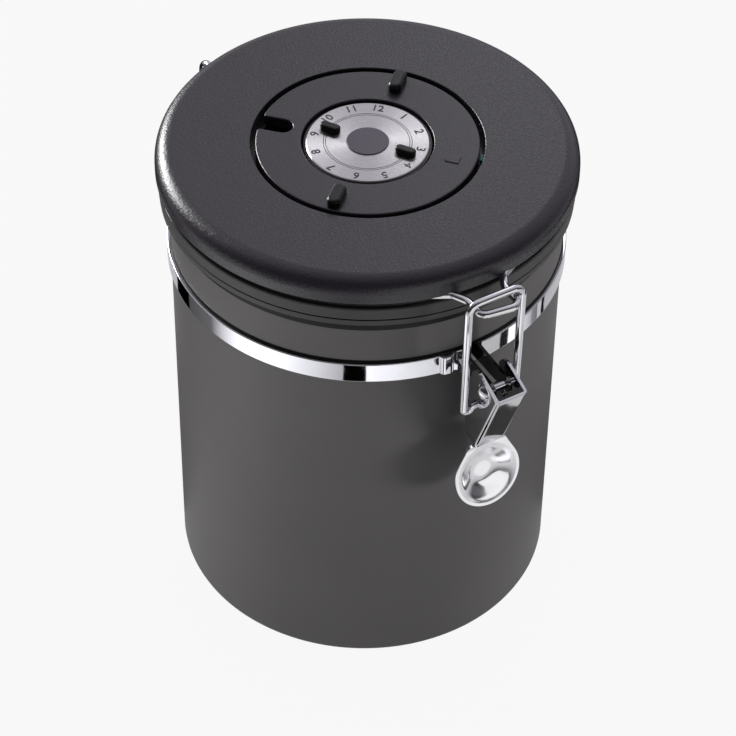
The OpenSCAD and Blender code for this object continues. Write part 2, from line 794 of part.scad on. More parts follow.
module valve_disc() {
    stem_len = seat_t + disc_lift;
    color(silicone_clear) {
        translate([0, 0, seat_z]) cylinder(h = disc_t, r = disc_d / 2);
        translate([0, 0, seat_z - stem_len]) cylinder(h = stem_len, r = stem_r);
    }
}

module valve_filter() {
    color(felt_white) translate([0, 0, cup_low + cap_t])
        cylinder(h = filter_t, r = cup_r - cup_wall);
}

module valve_cap() {
    color(moulded_black) difference() {
        translate([0, 0, cup_low]) cylinder(h = cap_t, r = cup_r - cup_wall);
        for (k = [1 : 3]) around(6 * k, k * 4.4) translate([0, 0, cup_low - 1])
            cylinder(h = cap_t + 2, r = cap_hole_r);
    }
}

can_body();
collar_ring();
strap();
latch_bracket();
lever_pin();
hinge_bracket();
hinge_pin();
lever();
bail();
lid_shell();
hoop_wire();
lid_frame();
lid_seal();
lid_screws();
dial_well();
dial_pads();
day_dial();
month_rotor();
number_plate();
centre_badge();
rotor_screw();
valve_cup();
valve_gasket();
valve_disc();
valve_filter();
valve_cap();
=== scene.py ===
import json
import math

import bmesh
import bpy
from mathutils import Matrix, Vector


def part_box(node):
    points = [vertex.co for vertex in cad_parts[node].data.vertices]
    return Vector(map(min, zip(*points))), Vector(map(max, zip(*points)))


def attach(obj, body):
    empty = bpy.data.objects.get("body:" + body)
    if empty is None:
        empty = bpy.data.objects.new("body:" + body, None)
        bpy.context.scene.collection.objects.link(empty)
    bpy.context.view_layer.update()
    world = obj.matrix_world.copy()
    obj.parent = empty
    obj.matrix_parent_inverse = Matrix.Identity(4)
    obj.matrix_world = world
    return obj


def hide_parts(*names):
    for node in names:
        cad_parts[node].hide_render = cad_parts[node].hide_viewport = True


mm = 0.001
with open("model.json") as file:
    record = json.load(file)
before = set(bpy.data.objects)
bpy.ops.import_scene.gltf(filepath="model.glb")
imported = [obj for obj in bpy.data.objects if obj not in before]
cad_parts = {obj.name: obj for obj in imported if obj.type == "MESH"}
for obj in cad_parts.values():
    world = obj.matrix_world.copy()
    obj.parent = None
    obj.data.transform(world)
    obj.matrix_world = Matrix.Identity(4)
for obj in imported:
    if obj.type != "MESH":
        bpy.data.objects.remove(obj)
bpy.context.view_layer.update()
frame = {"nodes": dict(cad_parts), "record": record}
nodes = frame["nodes"]
scene = bpy.context.scene

# Camera of the photograph, from the ellipses of lid, collar and foot
cameraSetup = {
    "azimuth": -31.0,  # degrees from -Y, seen from above
    "elevation": 43.88,
    "sideways": 1.089 * mm,
    "back": 681.1 * mm,
    "height": 727.0 * mm,
    "focal": 2840.5 / 736 * 36,
    "roll": 0.82,
}
viewTurn = Matrix.Rotation(math.radians(cameraSetup["azimuth"]), 4, "Z")


def makeCamera(setup):
    data = bpy.data.cameras.new("photoCamera")
    data.sensor_width = 36
    data.lens = setup["focal"]
    data.clip_start = 0.05
    cam = bpy.data.objects.new("photoCamera", data)
    scene.collection.objects.link(cam)
    place = Matrix.Translation((setup["sideways"], -setup["back"], setup["height"]))
    tilt = Matrix.Rotation(math.radians(90 - setup["elevation"]), 4, "X")
    roll = Matrix.Rotation(math.radians(setup["roll"]), 4, "Z")
    cam.matrix_world = viewTurn @ place @ tilt @ roll
    scene.camera = cam


makeCamera(cameraSetup)
print("camera set")


# Sizes below are in millimetres, and a finished mesh is scaled to metres
def cadSpan(node):
    low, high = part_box(node)
    return low / mm, high / mm


# Materials
def newMaterial(name):
    mat = bpy.data.materials.new(name)
    mat.use_nodes = True
    tree = mat.node_tree
    return mat, tree, tree.nodes["Principled BSDF"]


def addNode(tree, kind, links=(), **values):
    node = tree.nodes.new(kind)
    for key, value in values.items():
        setattr(node, key, value)
    for source, target in links:
        tree.links.new(source, node.inputs[target])
    return node


def objectCoords(tree, stretch=(1, 1, 1)):
    coords = addNode(tree, "ShaderNodeTexCoord")
    mapping = addNode(tree, "ShaderNodeMapping", [(coords.outputs["Object"], "Vector")])
    mapping.inputs["Scale"].default_value = stretch
    return mapping.outputs["Vector"]


# Distance from the canister's axis, for rings turned on a lathe
def axisDistance(tree, coords):
    flat = addNode(tree, "ShaderNodeVectorMath", [(coords, 0)], operation="MULTIPLY")
    flat.inputs[1].default_value = (1, 1, 0)
    length = addNode(tree, "ShaderNodeVectorMath", [(flat.outputs[0], 0)], operation="LENGTH")
    return length.outputs["Value"]


def noise(tree, coords, size, detail=2.0, rough=0.5):
    node = addNode(tree, "ShaderNodeTexNoise", [(coords, "Vector")])
    node.inputs["Scale"].default_value = 1 / (size * mm)
    node.inputs["Detail"].default_value = detail
    node.inputs["Roughness"].default_value = rough
    return node.outputs["Fac"]


def remap(tree, value, low, high, fromLow=0.3, fromHigh=0.7):
    node = addNode(tree, "ShaderNodeMapRange", [(value, "Value")])
    node.inputs["From Min"].default_value = fromLow
    node.inputs["From Max"].default_value = fromHigh
    node.inputs["To Min"].default_value = low
    node.inputs["To Max"].default_value = high
    return node.outputs["Result"]


def blendColors(tree, factor, first, second):
    node = addNode(tree, "ShaderNodeMix", data_type="RGBA")
    tree.links.new(factor, node.inputs["Factor"])
    node.inputs[6].default_value = (*first, 1)
    node.inputs[7].default_value = (*second, 1)
    return node.outputs[2]


def bump(tree, height, depth, before=None):
    node = addNode(tree, "ShaderNodeBump", [(height, "Height")])
    node.inputs["Distance"].default_value = depth * mm
    if before is not None:
        tree.links.new(before, node.inputs["Normal"])
    return node.outputs["Normal"]


# Moulded plastic: fine pebbled grain over a slow mottle
def mouldedPlastic(name, color, roughness, grain, depth, mottle=0.12, specular=0.5):
    mat, tree, shader = newMaterial(name)
    coords = objectCoords(tree)
    fine = noise(tree, coords, grain, 3, 0.6)
    slow = noise(tree, coords, 9, 2)
    dark = [c * (1 - mottle) for c in color]
    light = [c * (1 + mottle) for c in color]
    speck = addNode(tree, "ShaderNodeMath", operation="ADD")
    tree.links.new(remap(tree, fine, 0, 0.75), speck.inputs[0])
    tree.links.new(remap(tree, slow, 0, 0.25), speck.inputs[1])
    tree.links.new(blendColors(tree, speck.outputs[0], dark, light), shader.inputs["Base Color"])
    tree.links.new(remap(tree, fine, roughness + 0.06, roughness - 0.06), shader.inputs["Roughness"])
    tree.links.new(bump(tree, fine, depth), shader.inputs["Normal"])
    shader.inputs["Specular IOR Level"].default_value = specular
    return mat


# Baked enamel on sheet steel: faint orange peel and a slow drift of tone
def satinPaint(name, color, roughness):
    mat, tree, shader = newMaterial(name)
    coords = objectCoords(tree)
    peel = noise(tree, coords, 1.1, 2)
    dust = noise(tree, coords, 0.35, 1)
    drift = noise(tree, coords, 40, 2)
    tone = addNode(tree, "ShaderNodeMath", operation="ADD")
    tree.links.new(remap(tree, drift, 0, 0.6), tone.inputs[0])
    tree.links.new(remap(tree, dust, 0, 0.4), tone.inputs[1])
    dark = [c * 0.95 for c in color]
    light = [c * 1.05 for c in color]
    tree.links.new(blendColors(tree, tone.outputs[0], dark, light), shader.inputs["Base Color"])
    tree.links.new(remap(tree, dust, roughness + 0.03, roughness - 0.03), shader.inputs["Roughness"])
    tree.links.new(bump(tree, peel, 0.012), shader.inputs["Normal"])
    shader.inputs["Specular IOR Level"].default_value = 0.14
    return mat


# Polished steel: hairline scratches, smears in the gloss and a barely wavy sheet
def polishedMetal(name, color, roughness, stretch=(1, 1, 0.15), wave=0.002):
    mat, tree, shader = newMaterial(name)
    coords = objectCoords(tree)
    hair = noise(tree, objectCoords(tree, stretch), 0.12, 2)
    smear = noise(tree, coords, 5, 3)
    sheet = noise(tree, coords, 7, 1)
    gloss = addNode(tree, "ShaderNodeMath", operation="ADD")
    tree.links.new(remap(tree, smear, roughness * 0.5, roughness * 1.2), gloss.inputs[0])
    tree.links.new(remap(tree, hair, 0, roughness * 0.3), gloss.inputs[1])
    tree.links.new(gloss.outputs[0], shader.inputs["Roughness"])
    dark = [c * 0.94 for c in color]
    tree.links.new(blendColors(tree, remap(tree, smear, 0, 1), dark, color), shader.inputs["Base Color"])
    waves = bump(tree, sheet, wave * 10)
    tree.links.new(bump(tree, hair, wave * 0.1, waves), shader.inputs["Normal"])
    shader.inputs["Metallic"].default_value = 1
    return mat


# Lathe-turned metal: rings of tone and gloss about the axis
def turnedMetal(name, color, roughness, pitch, depth, streak=0.35, anisotropic=0.0):
    mat, tree, shader = newMaterial(name)
    coords = objectCoords(tree)
    radius = axisDistance(tree, coords)
    rings = addNode(tree, "ShaderNodeTexNoise", [(radius, "W")], noise_dimensions="1D")
    rings.inputs["Scale"].default_value = 1 / (pitch * mm)
    rings.inputs["Detail"].default_value = 2
    line = rings.outputs["Fac"]
    dark = [c * (1 - streak) for c in color]
    tree.links.new(blendColors(tree, remap(tree, line, 0, 1), dark, color), shader.inputs["Base Color"])
    tree.links.new(remap(tree, line, roughness + 0.08, roughness - 0.05), shader.inputs["Roughness"])
    tree.links.new(bump(tree, line, depth), shader.inputs["Normal"])
    shader.inputs["Metallic"].default_value = 1
    if anisotropic:
        shader.inputs["Anisotropic"].default_value = anisotropic
        tangent = addNode(tree, "ShaderNodeTangent", direction_type="RADIAL", axis="Z")
        tree.links.new(tangent.outputs[0], shader.inputs["Tangent"])
        shader.inputs["Anisotropic Rotation"].default_value = 0.25
    return mat


# Silicone: dull skin with dust in it
def silicone(name, color, roughness, through=0.0):
    mat, tree, shader = newMaterial(name)
    coords = objectCoords(tree)
    dust = noise(tree, coords, 0.25, 2)
    dark = [c * 0.85 for c in color]
    tree.links.new(blendColors(tree, remap(tree, dust, 0, 1), dark, color), shader.inputs["Base Color"])
    tree.links.new(remap(tree, dust, roughness - 0.08, roughness + 0.08), shader.inputs["Roughness"])
    tree.links.new(bump(tree, dust, 0.01), shader.inputs["Normal"])
    shader.inputs["Subsurface Weight"].default_value = through
    shader.inputs["Subsurface Scale"].default_value = 0.8 * mm
    return mat


# Pressed felt: crossing fibres
def felt(name, color):
    mat, tree, shader = newMaterial(name)
    fibres = noise(tree, objectCoords(tree, (1, 0.2, 1)), 0.2, 3)
    crossing = noise(tree, objectCoords(tree, (0.2, 1, 1)), 0.25, 3)
    both = addNode(tree, "ShaderNodeMath", [(fibres, 0), (crossing, 1)], operation="MAXIMUM")
    dark = [c * 0.7 for c in color]
    shade = blendColors(tree, remap(tree, both.outputs[0], 0, 1), dark, color)
    tree.links.new(shade, shader.inputs["Base Color"])
    tree.links.new(bump(tree, both.outputs[0], 0.12), shader.inputs["Normal"])
    shader.inputs["Roughness"].default_value = 0.95
    shader.inputs["Sheen Weight"].default_value = 0.3
    return mat


finishes = {
    "painted_steel": satinPaint("satinGreyPaint", (0.15, 0.145, 0.144), 0.5),
    "polished_steel": polishedMetal("polishedSteel", (0.64, 0.64, 0.66), 0.05),
    "textured_lid": mouldedPlastic("grainedCharcoal", (0.021, 0.018, 0.024), 0.3, 0.8, 0.13),
    "dial_plastic": mouldedPlastic("dialCharcoal", (0.022, 0.019, 0.025), 0.32, 0.7, 0.08),
    "black_plastic": mouldedPlastic("satinBlack", (0.004, 0.004, 0.004), 0.28, 0.3, 0.004, specular=0.3),
    "spun_metal": turnedMetal("turnedPlate", (0.56, 0.55, 0.56), 0.26, 0.12, 0.0008, 0.35, 0.9),
    "badge_plastic": mouldedPlastic("badgeLacquer", (0.09, 0.083, 0.11), 0.3, 0.2, 0.003),
    "clear_silicone": silicone("milkySilicone", (0.62, 0.64, 0.62), 0.4, 0.4),
    "black_silicone": silicone("blackSilicone", (0.012, 0.012, 0.012), 0.5),
    "teal_silicone": silicone("tealSilicone", (0.01, 0.24, 0.24), 0.45, 0.1),
    "filter_felt": felt("pressedFelt", (0.78, 0.76, 0.7)),
}
brightTab = polishedMetal("buffedSteel", (0.86, 0.86, 0.88), 0.16, (0.3, 1, 1))
shadedSteel = polishedMetal("darkSteel", (0.16, 0.16, 0.165), 0.12)
brushedInside = turnedMetal("brushedInside", (0.6, 0.6, 0.6), 0.3, 0.4, 0.002, 0.1)
# Near-black material used as painted shade in recesses and under ledges of the canister and collar
paintedShadeDark = mouldedPlastic("paintedShadeDark", (0.006, 0.006, 0.006), 0.5, 0.3, 0.004, specular=0.2)
collarPaint = satinPaint("collarPaint", (0.085, 0.082, 0.081), 0.42)
collarEdge = satinPaint("collarEdge", (0.085, 0.082, 0.081), 0.14)
printInk = mouldedPlastic("printInk", (0.03, 0.03, 0.033), 0.45, 0.15, 0.002)
print("finishes made")


# Mesh helpers
# A modifier's result made permanent
def settle(piece):
    bpy.context.view_layer.update()
    graph = bpy.context.evaluated_depsgraph_get()
    mesh = bpy.data.meshes.new_from_object(piece.evaluated_get(graph))
    piece.modifiers.clear()
    old = piece.data
    piece.data = mesh
    bpy.data.meshes.remove(old)
    return piece


def tidyMesh(bm, name, material, sharp=38.0, extra=()):
    bmesh.ops.remove_doubles(bm, verts=bm.verts, dist=1e-4)
    bmesh.ops.recalc_face_normals(bm, faces=bm.faces)
    for face in bm.faces:
        face.smooth = True
    for edge in bm.edges:
        if len(edge.link_faces) == 2:
            edge.smooth = edge.calc_face_angle() < math.radians(sharp)
    bm.transform(Matrix.Scale(mm, 4))
    mesh = bpy.data.meshes.new(name)
    bm.to_mesh(mesh)
    bm.free()
    for mat in (material, *extra):
        if mat:
            mesh.materials.append(mat)
    piece = bpy.data.objects.new(name, mesh)
    scene.collection.objects.link(piece)
    even = piece.modifiers.new("even", "WEIGHTED_NORMAL")
    even.keep_sharp = True
    return settle(piece)


def install(piece, body, slot, *replaced):
    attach(piece, body)
    if replaced:
        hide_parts(*replaced)


# Arc that rounds the corner between two straight runs
def cornerArc(corner, before, after, radius, steps):
    before, after = before.normalized(), after.normalized()
    half = before.angle(after) / 2
    sweep = math.pi - 2 * half
    if radius == 0 or sweep < 0.01:
        return [corner]
    reach = radius / math.tan(half)
    centre = corner + (before + after).normalized() * radius / math.sin(half)
    start = corner + before * reach - centre
    end = corner + after * reach - centre
    arc = []
    for i in range(steps + 1):
        t = i / steps * sweep
        arc.append(centre + (start * math.sin(sweep - t) + end * math.sin(t)) / math.sin(sweep))
    return arc


def rounded(corners, radii, closed=False, steps=6):
    count = len(corners)
    points = []
    for i, corner in enumerate(corners):
        if not closed and i in (0, count - 1):
            points.append(Vector(corner))
            continue
        here = Vector(corner)
        before = Vector(corners[i - 1]) - here
        after = Vector(corners[(i + 1) % count]) - here
        points += cornerArc(here, before, after, radii[i], steps)
    return points


def turned(points, degrees):
    spin = Matrix.Rotation(math.radians(degrees), 3, "Z")
    return [spin @ Vector(p) for p in points]


# Solid of revolution about Z; each corner of the outline is (radius, height, corner radius)
def spun(name, outline, material, steps=256, extra=(), paint=None, move=None, arcSteps=6):
    flat = rounded([c[:2] for c in outline], [c[2] for c in outline], True, arcSteps)
    bm = bmesh.new()
    onAxis = {i: bm.verts.new((0, 0, p.y)) for i, p in enumerate(flat) if p.x < 1e-6}
    rings = []
    for k in range(steps):
        a = 2 * math.pi * k / steps
        ring = [onAxis.get(i) or bm.verts.new((p.x * math.cos(a), p.x * math.sin(a), p.y)) for i, p in enumerate(flat)]
        rings.append(ring)
    count = len(flat)
    for k in range(steps):
        here, there = rings[k], rings[(k + 1) % steps]
        for i in range(count):
            j = (i + 1) % count
            corners = list(dict.fromkeys([here[i], here[j], there[j], there[i]]))
            if len(corners) > 2:
                bm.faces.new(corners)
    if paint:
        for face in bm.faces:
            centre = face.calc_center_median()
            face.material_index = paint(math.hypot(centre.x, centre.y), centre.z)
    if move:
        bm.transform(move)
    return tidyMesh(bm, name, material, extra=extra)


# Walls between loops of equal length; the caller closes the ends
def stacked(bm, loops):
    made = [[bm.verts.new(p) for p in loop] for loop in loops]
    count = len(made[0])
    for low, high in zip(made, made[1:]):
        for i in range(count):
            j = (i + 1) % count
            bm.faces.new((low[i], low[j], high[j], high[i]))
    return made


# Round-ended bar with a softened top edge, along X
def pillLoops(length, width, low, high, soft, steps=6, arcSteps=12):
    half = (length - width) / 2
    levels = [(0, low)]
    for i in range(steps + 1):
        a = math.pi / 2 * i / steps
        levels.append((soft * (1 - math.cos(a)), high - soft * (1 - math.sin(a))))
    loops = []
    for inset, z in levels:
        loop = []
        for side in (1, -1):
            for k in range(arcSteps + 1):
                a = math.pi * k / arcSteps - math.pi / 2
                r = width / 2 - inset
                loop.append((side * (half + r * math.cos(a)), side * r * math.sin(a), z))
        loops.append(loop)
    return loops


def pillMesh(name, length, width, low, high, soft):
    bm = bmesh.new()
    made = stacked(bm, pillLoops(length, width, low, high, soft))
    bm.faces.new(made[-1])
    bm.faces.new(made[0])
    return tidyMesh(bm, name, finishes["black_plastic"])


# Geometry Nodes: a wire swept along a curve, and copies set round the axis
def nodeTree(name, inputs):
    tree = bpy.data.node_groups.new(name, "GeometryNodeTree")
    sockets = {}
    for label, kind in inputs:
        sockets[label] = tree.interface.new_socket(label, in_out="INPUT", socket_type="NodeSocket" + kind).identifier
    tree.interface.new_socket("Geometry", in_out="OUTPUT", socket_type="NodeSocketGeometry")
    return tree, sockets, tree.nodes.new("NodeGroupInput"), tree.nodes.new("NodeGroupOutput")


def wireSweepTree():
    inputs = [("Geometry", "Geometry"), ("Radius", "Float"), ("Sides", "Int"), ("Material", "Material")]
    tree, sockets, source, result = nodeTree("wireSweep", inputs)
    circle = addNode(tree, "GeometryNodeCurvePrimitiveCircle", [(source.outputs["Sides"], "Resolution")])
    tree.links.new(source.outputs["Radius"], circle.inputs["Radius"])
    sweep = addNode(tree, "GeometryNodeCurveToMesh", [(source.outputs["Geometry"], "Curve")])
    tree.links.new(circle.outputs["Curve"], sweep.inputs["Profile Curve"])
    sweep.inputs["Fill Caps"].default_value = True
    real = addNode(tree, "GeometryNodeRealizeInstances", [(sweep.outputs["Mesh"], "Geometry")])
    dressed = addNode(tree, "GeometryNodeSetMaterial", [(real.outputs["Geometry"], "Geometry")])
    tree.links.new(source.outputs["Material"], dressed.inputs["Material"])
    tree.links.new(dressed.outputs["Geometry"], result.inputs["Geometry"])
    return tree, sockets


def ringCopiesTree():
    inputs = [
        ("Geometry", "Geometry"), ("Piece", "Object"), ("Count", "Int"),
        ("Radius", "Float"), ("Start", "Float"), ("Material", "Material"),
    ]
    tree, sockets, source, result = nodeTree("ringCopies", inputs)
    index = addNode(tree, "GeometryNodeInputIndex")
    share = addNode(tree, "ShaderNodeMath", [(index.outputs[0], 0)], operation="DIVIDE")
    tree.links.new(source.outputs["Count"], share.inputs[1])
    turn = addNode(tree, "ShaderNodeMath", [(share.outputs[0], 0)], operation="MULTIPLY_ADD")
    turn.inputs[1].default_value = 2 * math.pi
    tree.links.new(source.outputs["Start"], turn.inputs[2])
    facing = addNode(tree, "ShaderNodeCombineXYZ", [(turn.outputs[0], 2)])
    out = addNode(tree, "ShaderNodeCombineXYZ", [(source.outputs["Radius"], 0)])
    place = addNode(tree, "ShaderNodeVectorRotate", [(out.outputs[0], "Vector")], rotation_type="Z_AXIS")
    tree.links.new(turn.outputs[0], place.inputs["Angle"])
    points = addNode(tree, "GeometryNodePoints", [(source.outputs["Count"], "Count")])
    tree.links.new(place.outputs[0], points.inputs["Position"])
    model = addNode(tree, "GeometryNodeObjectInfo", [(source.outputs["Piece"], "Object")])
    copies = addNode(tree, "GeometryNodeInstanceOnPoints", [(points.outputs[0], "Points")])
    tree.links.new(model.outputs["Geometry"], copies.inputs["Instance"])
    tree.links.new(facing.outputs[0], copies.inputs["Rotation"])
    real = addNode(tree, "GeometryNodeRealizeInstances", [(copies.outputs[0], "Geometry")])
    dressed = addNode(tree, "GeometryNodeSetMaterial", [(real.outputs["Geometry"], "Geometry")])
    tree.links.new(source.outputs["Material"], dressed.inputs["Material"])
    tree.links.new(dressed.outputs["Geometry"], result.inputs["Geometry"])
    return tree, sockets


# The evaluated result of a node tree becomes a plain mesh, and its maker is removed
def bakeTree(name, made, values, source=None):
    tree, sockets = made
    maker = source or bpy.data.objects.new(name + "Maker", bpy.data.meshes.new(name + "Maker"))
    if source is None:
        scene.collection.objects.link(maker)
    modifier = maker.modifiers.new("nodes", "NODES")
    modifier.node_group = tree
    for label, value in values.items():
        modifier[sockets[label]] = value
    bpy.context.view_layer.update()
    graph = bpy.context.evaluated_depsgraph_get()
    mesh = bpy.data.meshes.new_from_object(maker.evaluated_get(graph))
    mesh.name = name
    bpy.data.objects.remove(maker)
    piece = bpy.data.objects.new(name, mesh)
    scene.collection.objects.link(piece)
    return piece


wireSweep = wireSweepTree()
ringCopies = ringCopiesTree()


def sweptWire(name, points, radius, material, sides=28):
    curve = bpy.data.curves.new(name + "Path", "CURVE")
    curve.dimensions = "3D"
    spline = curve.splines.new("POLY")
    spline.points.add(len(points) - 1)
    for place, point in zip(spline.points, points):
        place.co = (*(point * mm), 1)
    maker = bpy.data.objects.new(name + "Path", curve)
    scene.collection.objects.link(maker)
    piece = bakeTree(name, wireSweep, {"Radius": radius * mm, "Sides": sides, "Material": material}, maker)
    piece.data.shade_smooth()
    piece.data.set_sharp_from_angle(angle=math.radians(50))
    return piece


def copiesRound(name, model, count, radius, start, material):
    values = {
        "Piece": model, "Count": count, "Radius": radius * mm,
        "Start": math.radians(start), "Material": material,
    }
    piece = bakeTree(name, ringCopies, values)
    bpy.data.objects.remove(model)
    return piece


def joined(name, *pieces):
    bpy.ops.object.select_all(action="DESELECT")
    for piece in pieces:
        piece.select_set(True)
    bpy.context.view_layer.objects.active = pieces[0]
    bpy.ops.object.join()
    pieces[0].name = name
    return pieces[0]


# Copy of a construction piece with its edges broken, as after tumbling
def softened(name, node, material, width=0.15, angle=40.0):
    bm = bmesh.new()
    bm.from_mesh(nodes[node].data)
    bm.transform(Matrix.Scale(1 / mm, 4))
    bmesh.ops.remove_doubles(bm, verts=bm.verts, dist=1e-3)
    bmesh.ops.dissolve_limit(bm, angle_limit=math.radians(0.6), verts=bm.verts, edges=bm.edges)
    edges = [e for e in bm.edges if len(e.link_faces) == 2 and e.calc_face_angle() > math.radians(angle)]
    bmesh.ops.bevel(bm, geom=edges, offset=width, segments=2, profile=0.5, affect="EDGES", clamp_overlap=True)
    return tidyMesh(bm, name, material)


# Canister
canLow, canHigh = cadSpan("can_body")
canR = canHigh.x
canBody = {
    "wall": 0.8,
    "footEdge": 3.0,
    "footInner": 54.2,
    "floorLift": 2.0,
    # Heights of two bands of painted shade on the wall: just above the strap and just under the collar's roll
    "paintedShadeBands": [(134.0, 135.0), (147.3, 149.2)],
}


def makeCanBody(size):
    bore = canR - size["wall"]
    lift = size["floorLift"]
    paintedShadeBands = [(canR, z, 0) for span in size["paintedShadeBands"] for z in span]
    outline = [
        (0, lift, 0), (size["footInner"], lift, 0.5), (size["footInner"], 0, 0.4),
        (canR, 0, size["footEdge"]), *paintedShadeBands, (canR, canHigh.z, 0), (bore, canHigh.z, 0),
        (bore, lift + size["wall"], 1.5), (0, lift + size["wall"], 0),
    ]

    def paint(r, z):
        # Painted shade: these bands are coloured near-black where the strap and the collar would shade the wall
        if r > canR - 0.1 and any(low < z < high for low, high in size["paintedShadeBands"]):
            return 2
        inside = z > lift + 0.4 and r < canR - 0.3
        under = z < lift + 0.1 and r < size["footInner"] + 0.1
        return 1 if inside or under else 0

    piece = spun("canisterWall", outline, finishes["painted_steel"], extra=[brushedInside, paintedShadeDark], paint=paint)
    install(piece, "canister", "painted_steel", "can_body")


collarLow, collarHigh = cadSpan("collar_ring")
collar = {
    "lip": 0.8,
    "faceHeight": 4.0,
    "seamHeight": 0.6,
    "rollShade": 0.5,
    "seamDepth": 0.6,
    "rollBack": 0.2,
    "rollR": 0.75,
    "edgeR": 0.55,
}


def makeCollar(size):
    top, outer, low = collarHigh.z, collarHigh.x, collarLow.z
    face = top - size["faceHeight"]
    neck = outer - size["seamDepth"]
    roll = outer - size["rollBack"]
    bore = canR - canBody["wall"]
    outline = [
        (bore, top, 0.3), (outer, top, size["edgeR"]), (outer, face, 0.12), (neck, face, 0),
        (neck, face - size["seamHeight"], 0), (roll, face - size["seamHeight"], 0.12), (roll, low, size["rollR"]),
        (canR, low, 0), (canR, top - size["lip"], 0), (bore, top - size["lip"], 0),
    ]

    def paint(r, z):
        # Painted shade: the groove's faces and the underside of the roll are coloured near-black
        inShadedGroove = r < outer - 0.05 and face - size["seamHeight"] - 0.01 < z < face + 0.01
        if r > canR and (inShadedGroove or z < low + size["rollShade"]):
            return 2
        return 1 if z > top - size["edgeR"] - 0.05 else 0

    piece = spun("collarRing", outline, collarPaint, extra=[collarEdge, paintedShadeDark], paint=paint)
    install(piece, "canister", "painted_steel", "collar_ring")


strapLow, strapHigh = cadSpan("strap")
strap = {
    "thickness": 1.2,
    "edgeR": 0.3,
    "slotX": 3.5,
    "humpX": -8.6,
    "humpW": 4.6,
    "humpOut": 1.4,
    "humpR": 1.7,
}


# Path of the strap's outer face, from the right end round the back to the loop beside the latch
def strapPath(size):
    outer = strapHigh.x
    half = size["humpW"] / 2
    start = math.asin(size["slotX"] / outer)
    stop = math.asin(-(size["humpX"] - half) / outer)
    points = []
    count = 300
    for i in range(count + 1):
        a = -math.pi / 2 + start + (2 * math.pi - start - stop) * i / count
        points.append(Vector((outer * math.cos(a), outer * math.sin(a))))
    left, right = size["humpX"] - half, size["humpX"] + half
    crest = outer + size["humpOut"]
    corners = [
        points[-2], points[-1], (left + 0.5, -math.sqrt(crest**2 - left**2)),
        (right - 0.5, -math.sqrt(crest**2 - right**2)), (right, -math.sqrt(outer**2 - right**2)),
        (-size["slotX"], -math.sqrt(outer**2 - size["slotX"] ** 2)),
    ]
    hump = rounded(corners, [0, 0.5, size["humpR"], size["humpR"], 0.5, 0], steps=8)
    return points[:-1] + hump[1:]


def makeStrap(size):
    path = strapPath(size)
    wide, thick = strapHigh.z - strapLow.z, size["thickness"]
    low = strapLow.z
    r = size["edgeR"]
    section = rounded([(0, low), (0, low + wide), (-thick, low + wide), (-thick, low)], [r] * 4, True, 4)
    flatEnds = [Vector((0, low + r + 0.1)), Vector((0, low + wide - r - 0.1))]
    section = section[:5] + flatEnds + section[5:]
    bm = bmesh.new()
    rings = []
    for i, p in enumerate(path):
        before = path[max(i - 1, 0)]
        after = path[min(i + 1, len(path) - 1)]
        along = (after - before).normalized()
        out = Vector((along.y, -along.x))
        rings.append([bm.verts.new((*(p + out * s.x), s.y)) for s in section])
    for here, there in zip(rings, rings[1:]):
        for i in range(len(section)):
            j = (i + 1) % len(section)
            bm.faces.new((here[i], here[j], there[j], there[i]))
    bm.faces.new(rings[0])
    bm.faces.new(rings[-1])
    piece = tidyMesh(bm, "bandStrap", finishes["polished_steel"])
    install(piece, "canister", "polished_steel", "strap")


makeCanBody(canBody)
makeCollar(collar)
makeStrap(strap)
print("canister made")


# Lid
lidLow, lidHigh = cadSpan("lid_shell")
lid = {
    "edgeR": 5.3,
    "wall": 2.0,
    "boreR": 36.4,
    "tubeR": 38.0,
    "bossPitch": 47.0,
    "bossR": 3.0,
}


def makeLid(size):
    top, outer, low = lidHigh.z, lidHigh.x, lidLow.z
    tubeLow = cadSpan("dial_well")[0].z + 1.2
    lowRim = cadSpan("lid_frame")[1].z
    innerTop = top - size["wall"]
    rim = outer - size["wall"]
    outline = [
        (size["boreR"], tubeLow, 0), (size["boreR"], top, 0.35), (outer, top, size["edgeR"]),
        (outer, low, 0.5), (rim, low, 0.3), (rim, innerTop, size["edgeR"] - size["wall"]),
        (size["tubeR"], innerTop, 0.5), (size["tubeR"], tubeLow, 0),
    ]
    shell = spun("lidCover", outline, finishes["textured_lid"], arcSteps=14)
    bossLow = cadSpan("lid_shell")[0].z
    model = spun("bossModel", [(0, bossLow, 0), (3, bossLow, 0.3), (3, innerTop, 0), (0, innerTop, 0)], None, 32)
    bosses = copiesRound("bosses", model, 4, size["bossPitch"], 45, finishes["textured_lid"])
    piece = joined("lidCover", shell, bosses)
    install(piece, "lid", "textured_lid", "lid_shell")
    return lowRim


makeLid(lid)

hoopLow, hoopHigh = cadSpan("hoop_wire")
hoop = {
    "wireR": 1.25,
    "radius": 61.6,
    "z": 160.85,
    "noseReach": 12.3,
    "noseWidth": 12.8,
    "rootWidth": 17.6,
    "taper": 4.5,
    "noseTurn": -0.2,
    "noseSkew": 7.5,
    "legSpan": 34.4,
    "legOut": 72.2,
    "legTurn": 2.2,
    "rootBend": 4.0,
    "legBend": 4.5,
    "eyeR": 2.83,
    "pinZ": 130.55,
    "eyeSweep": 273,
}


def arc(centre, radius, start, stop, count):
    points = []
    for i in range(count + 1):
        a = math.radians(start + (stop - start) * i / count)
        points.append(Vector((centre[0] + radius * math.cos(a), centre[1] + radius * math.sin(a), 0)))
    return points


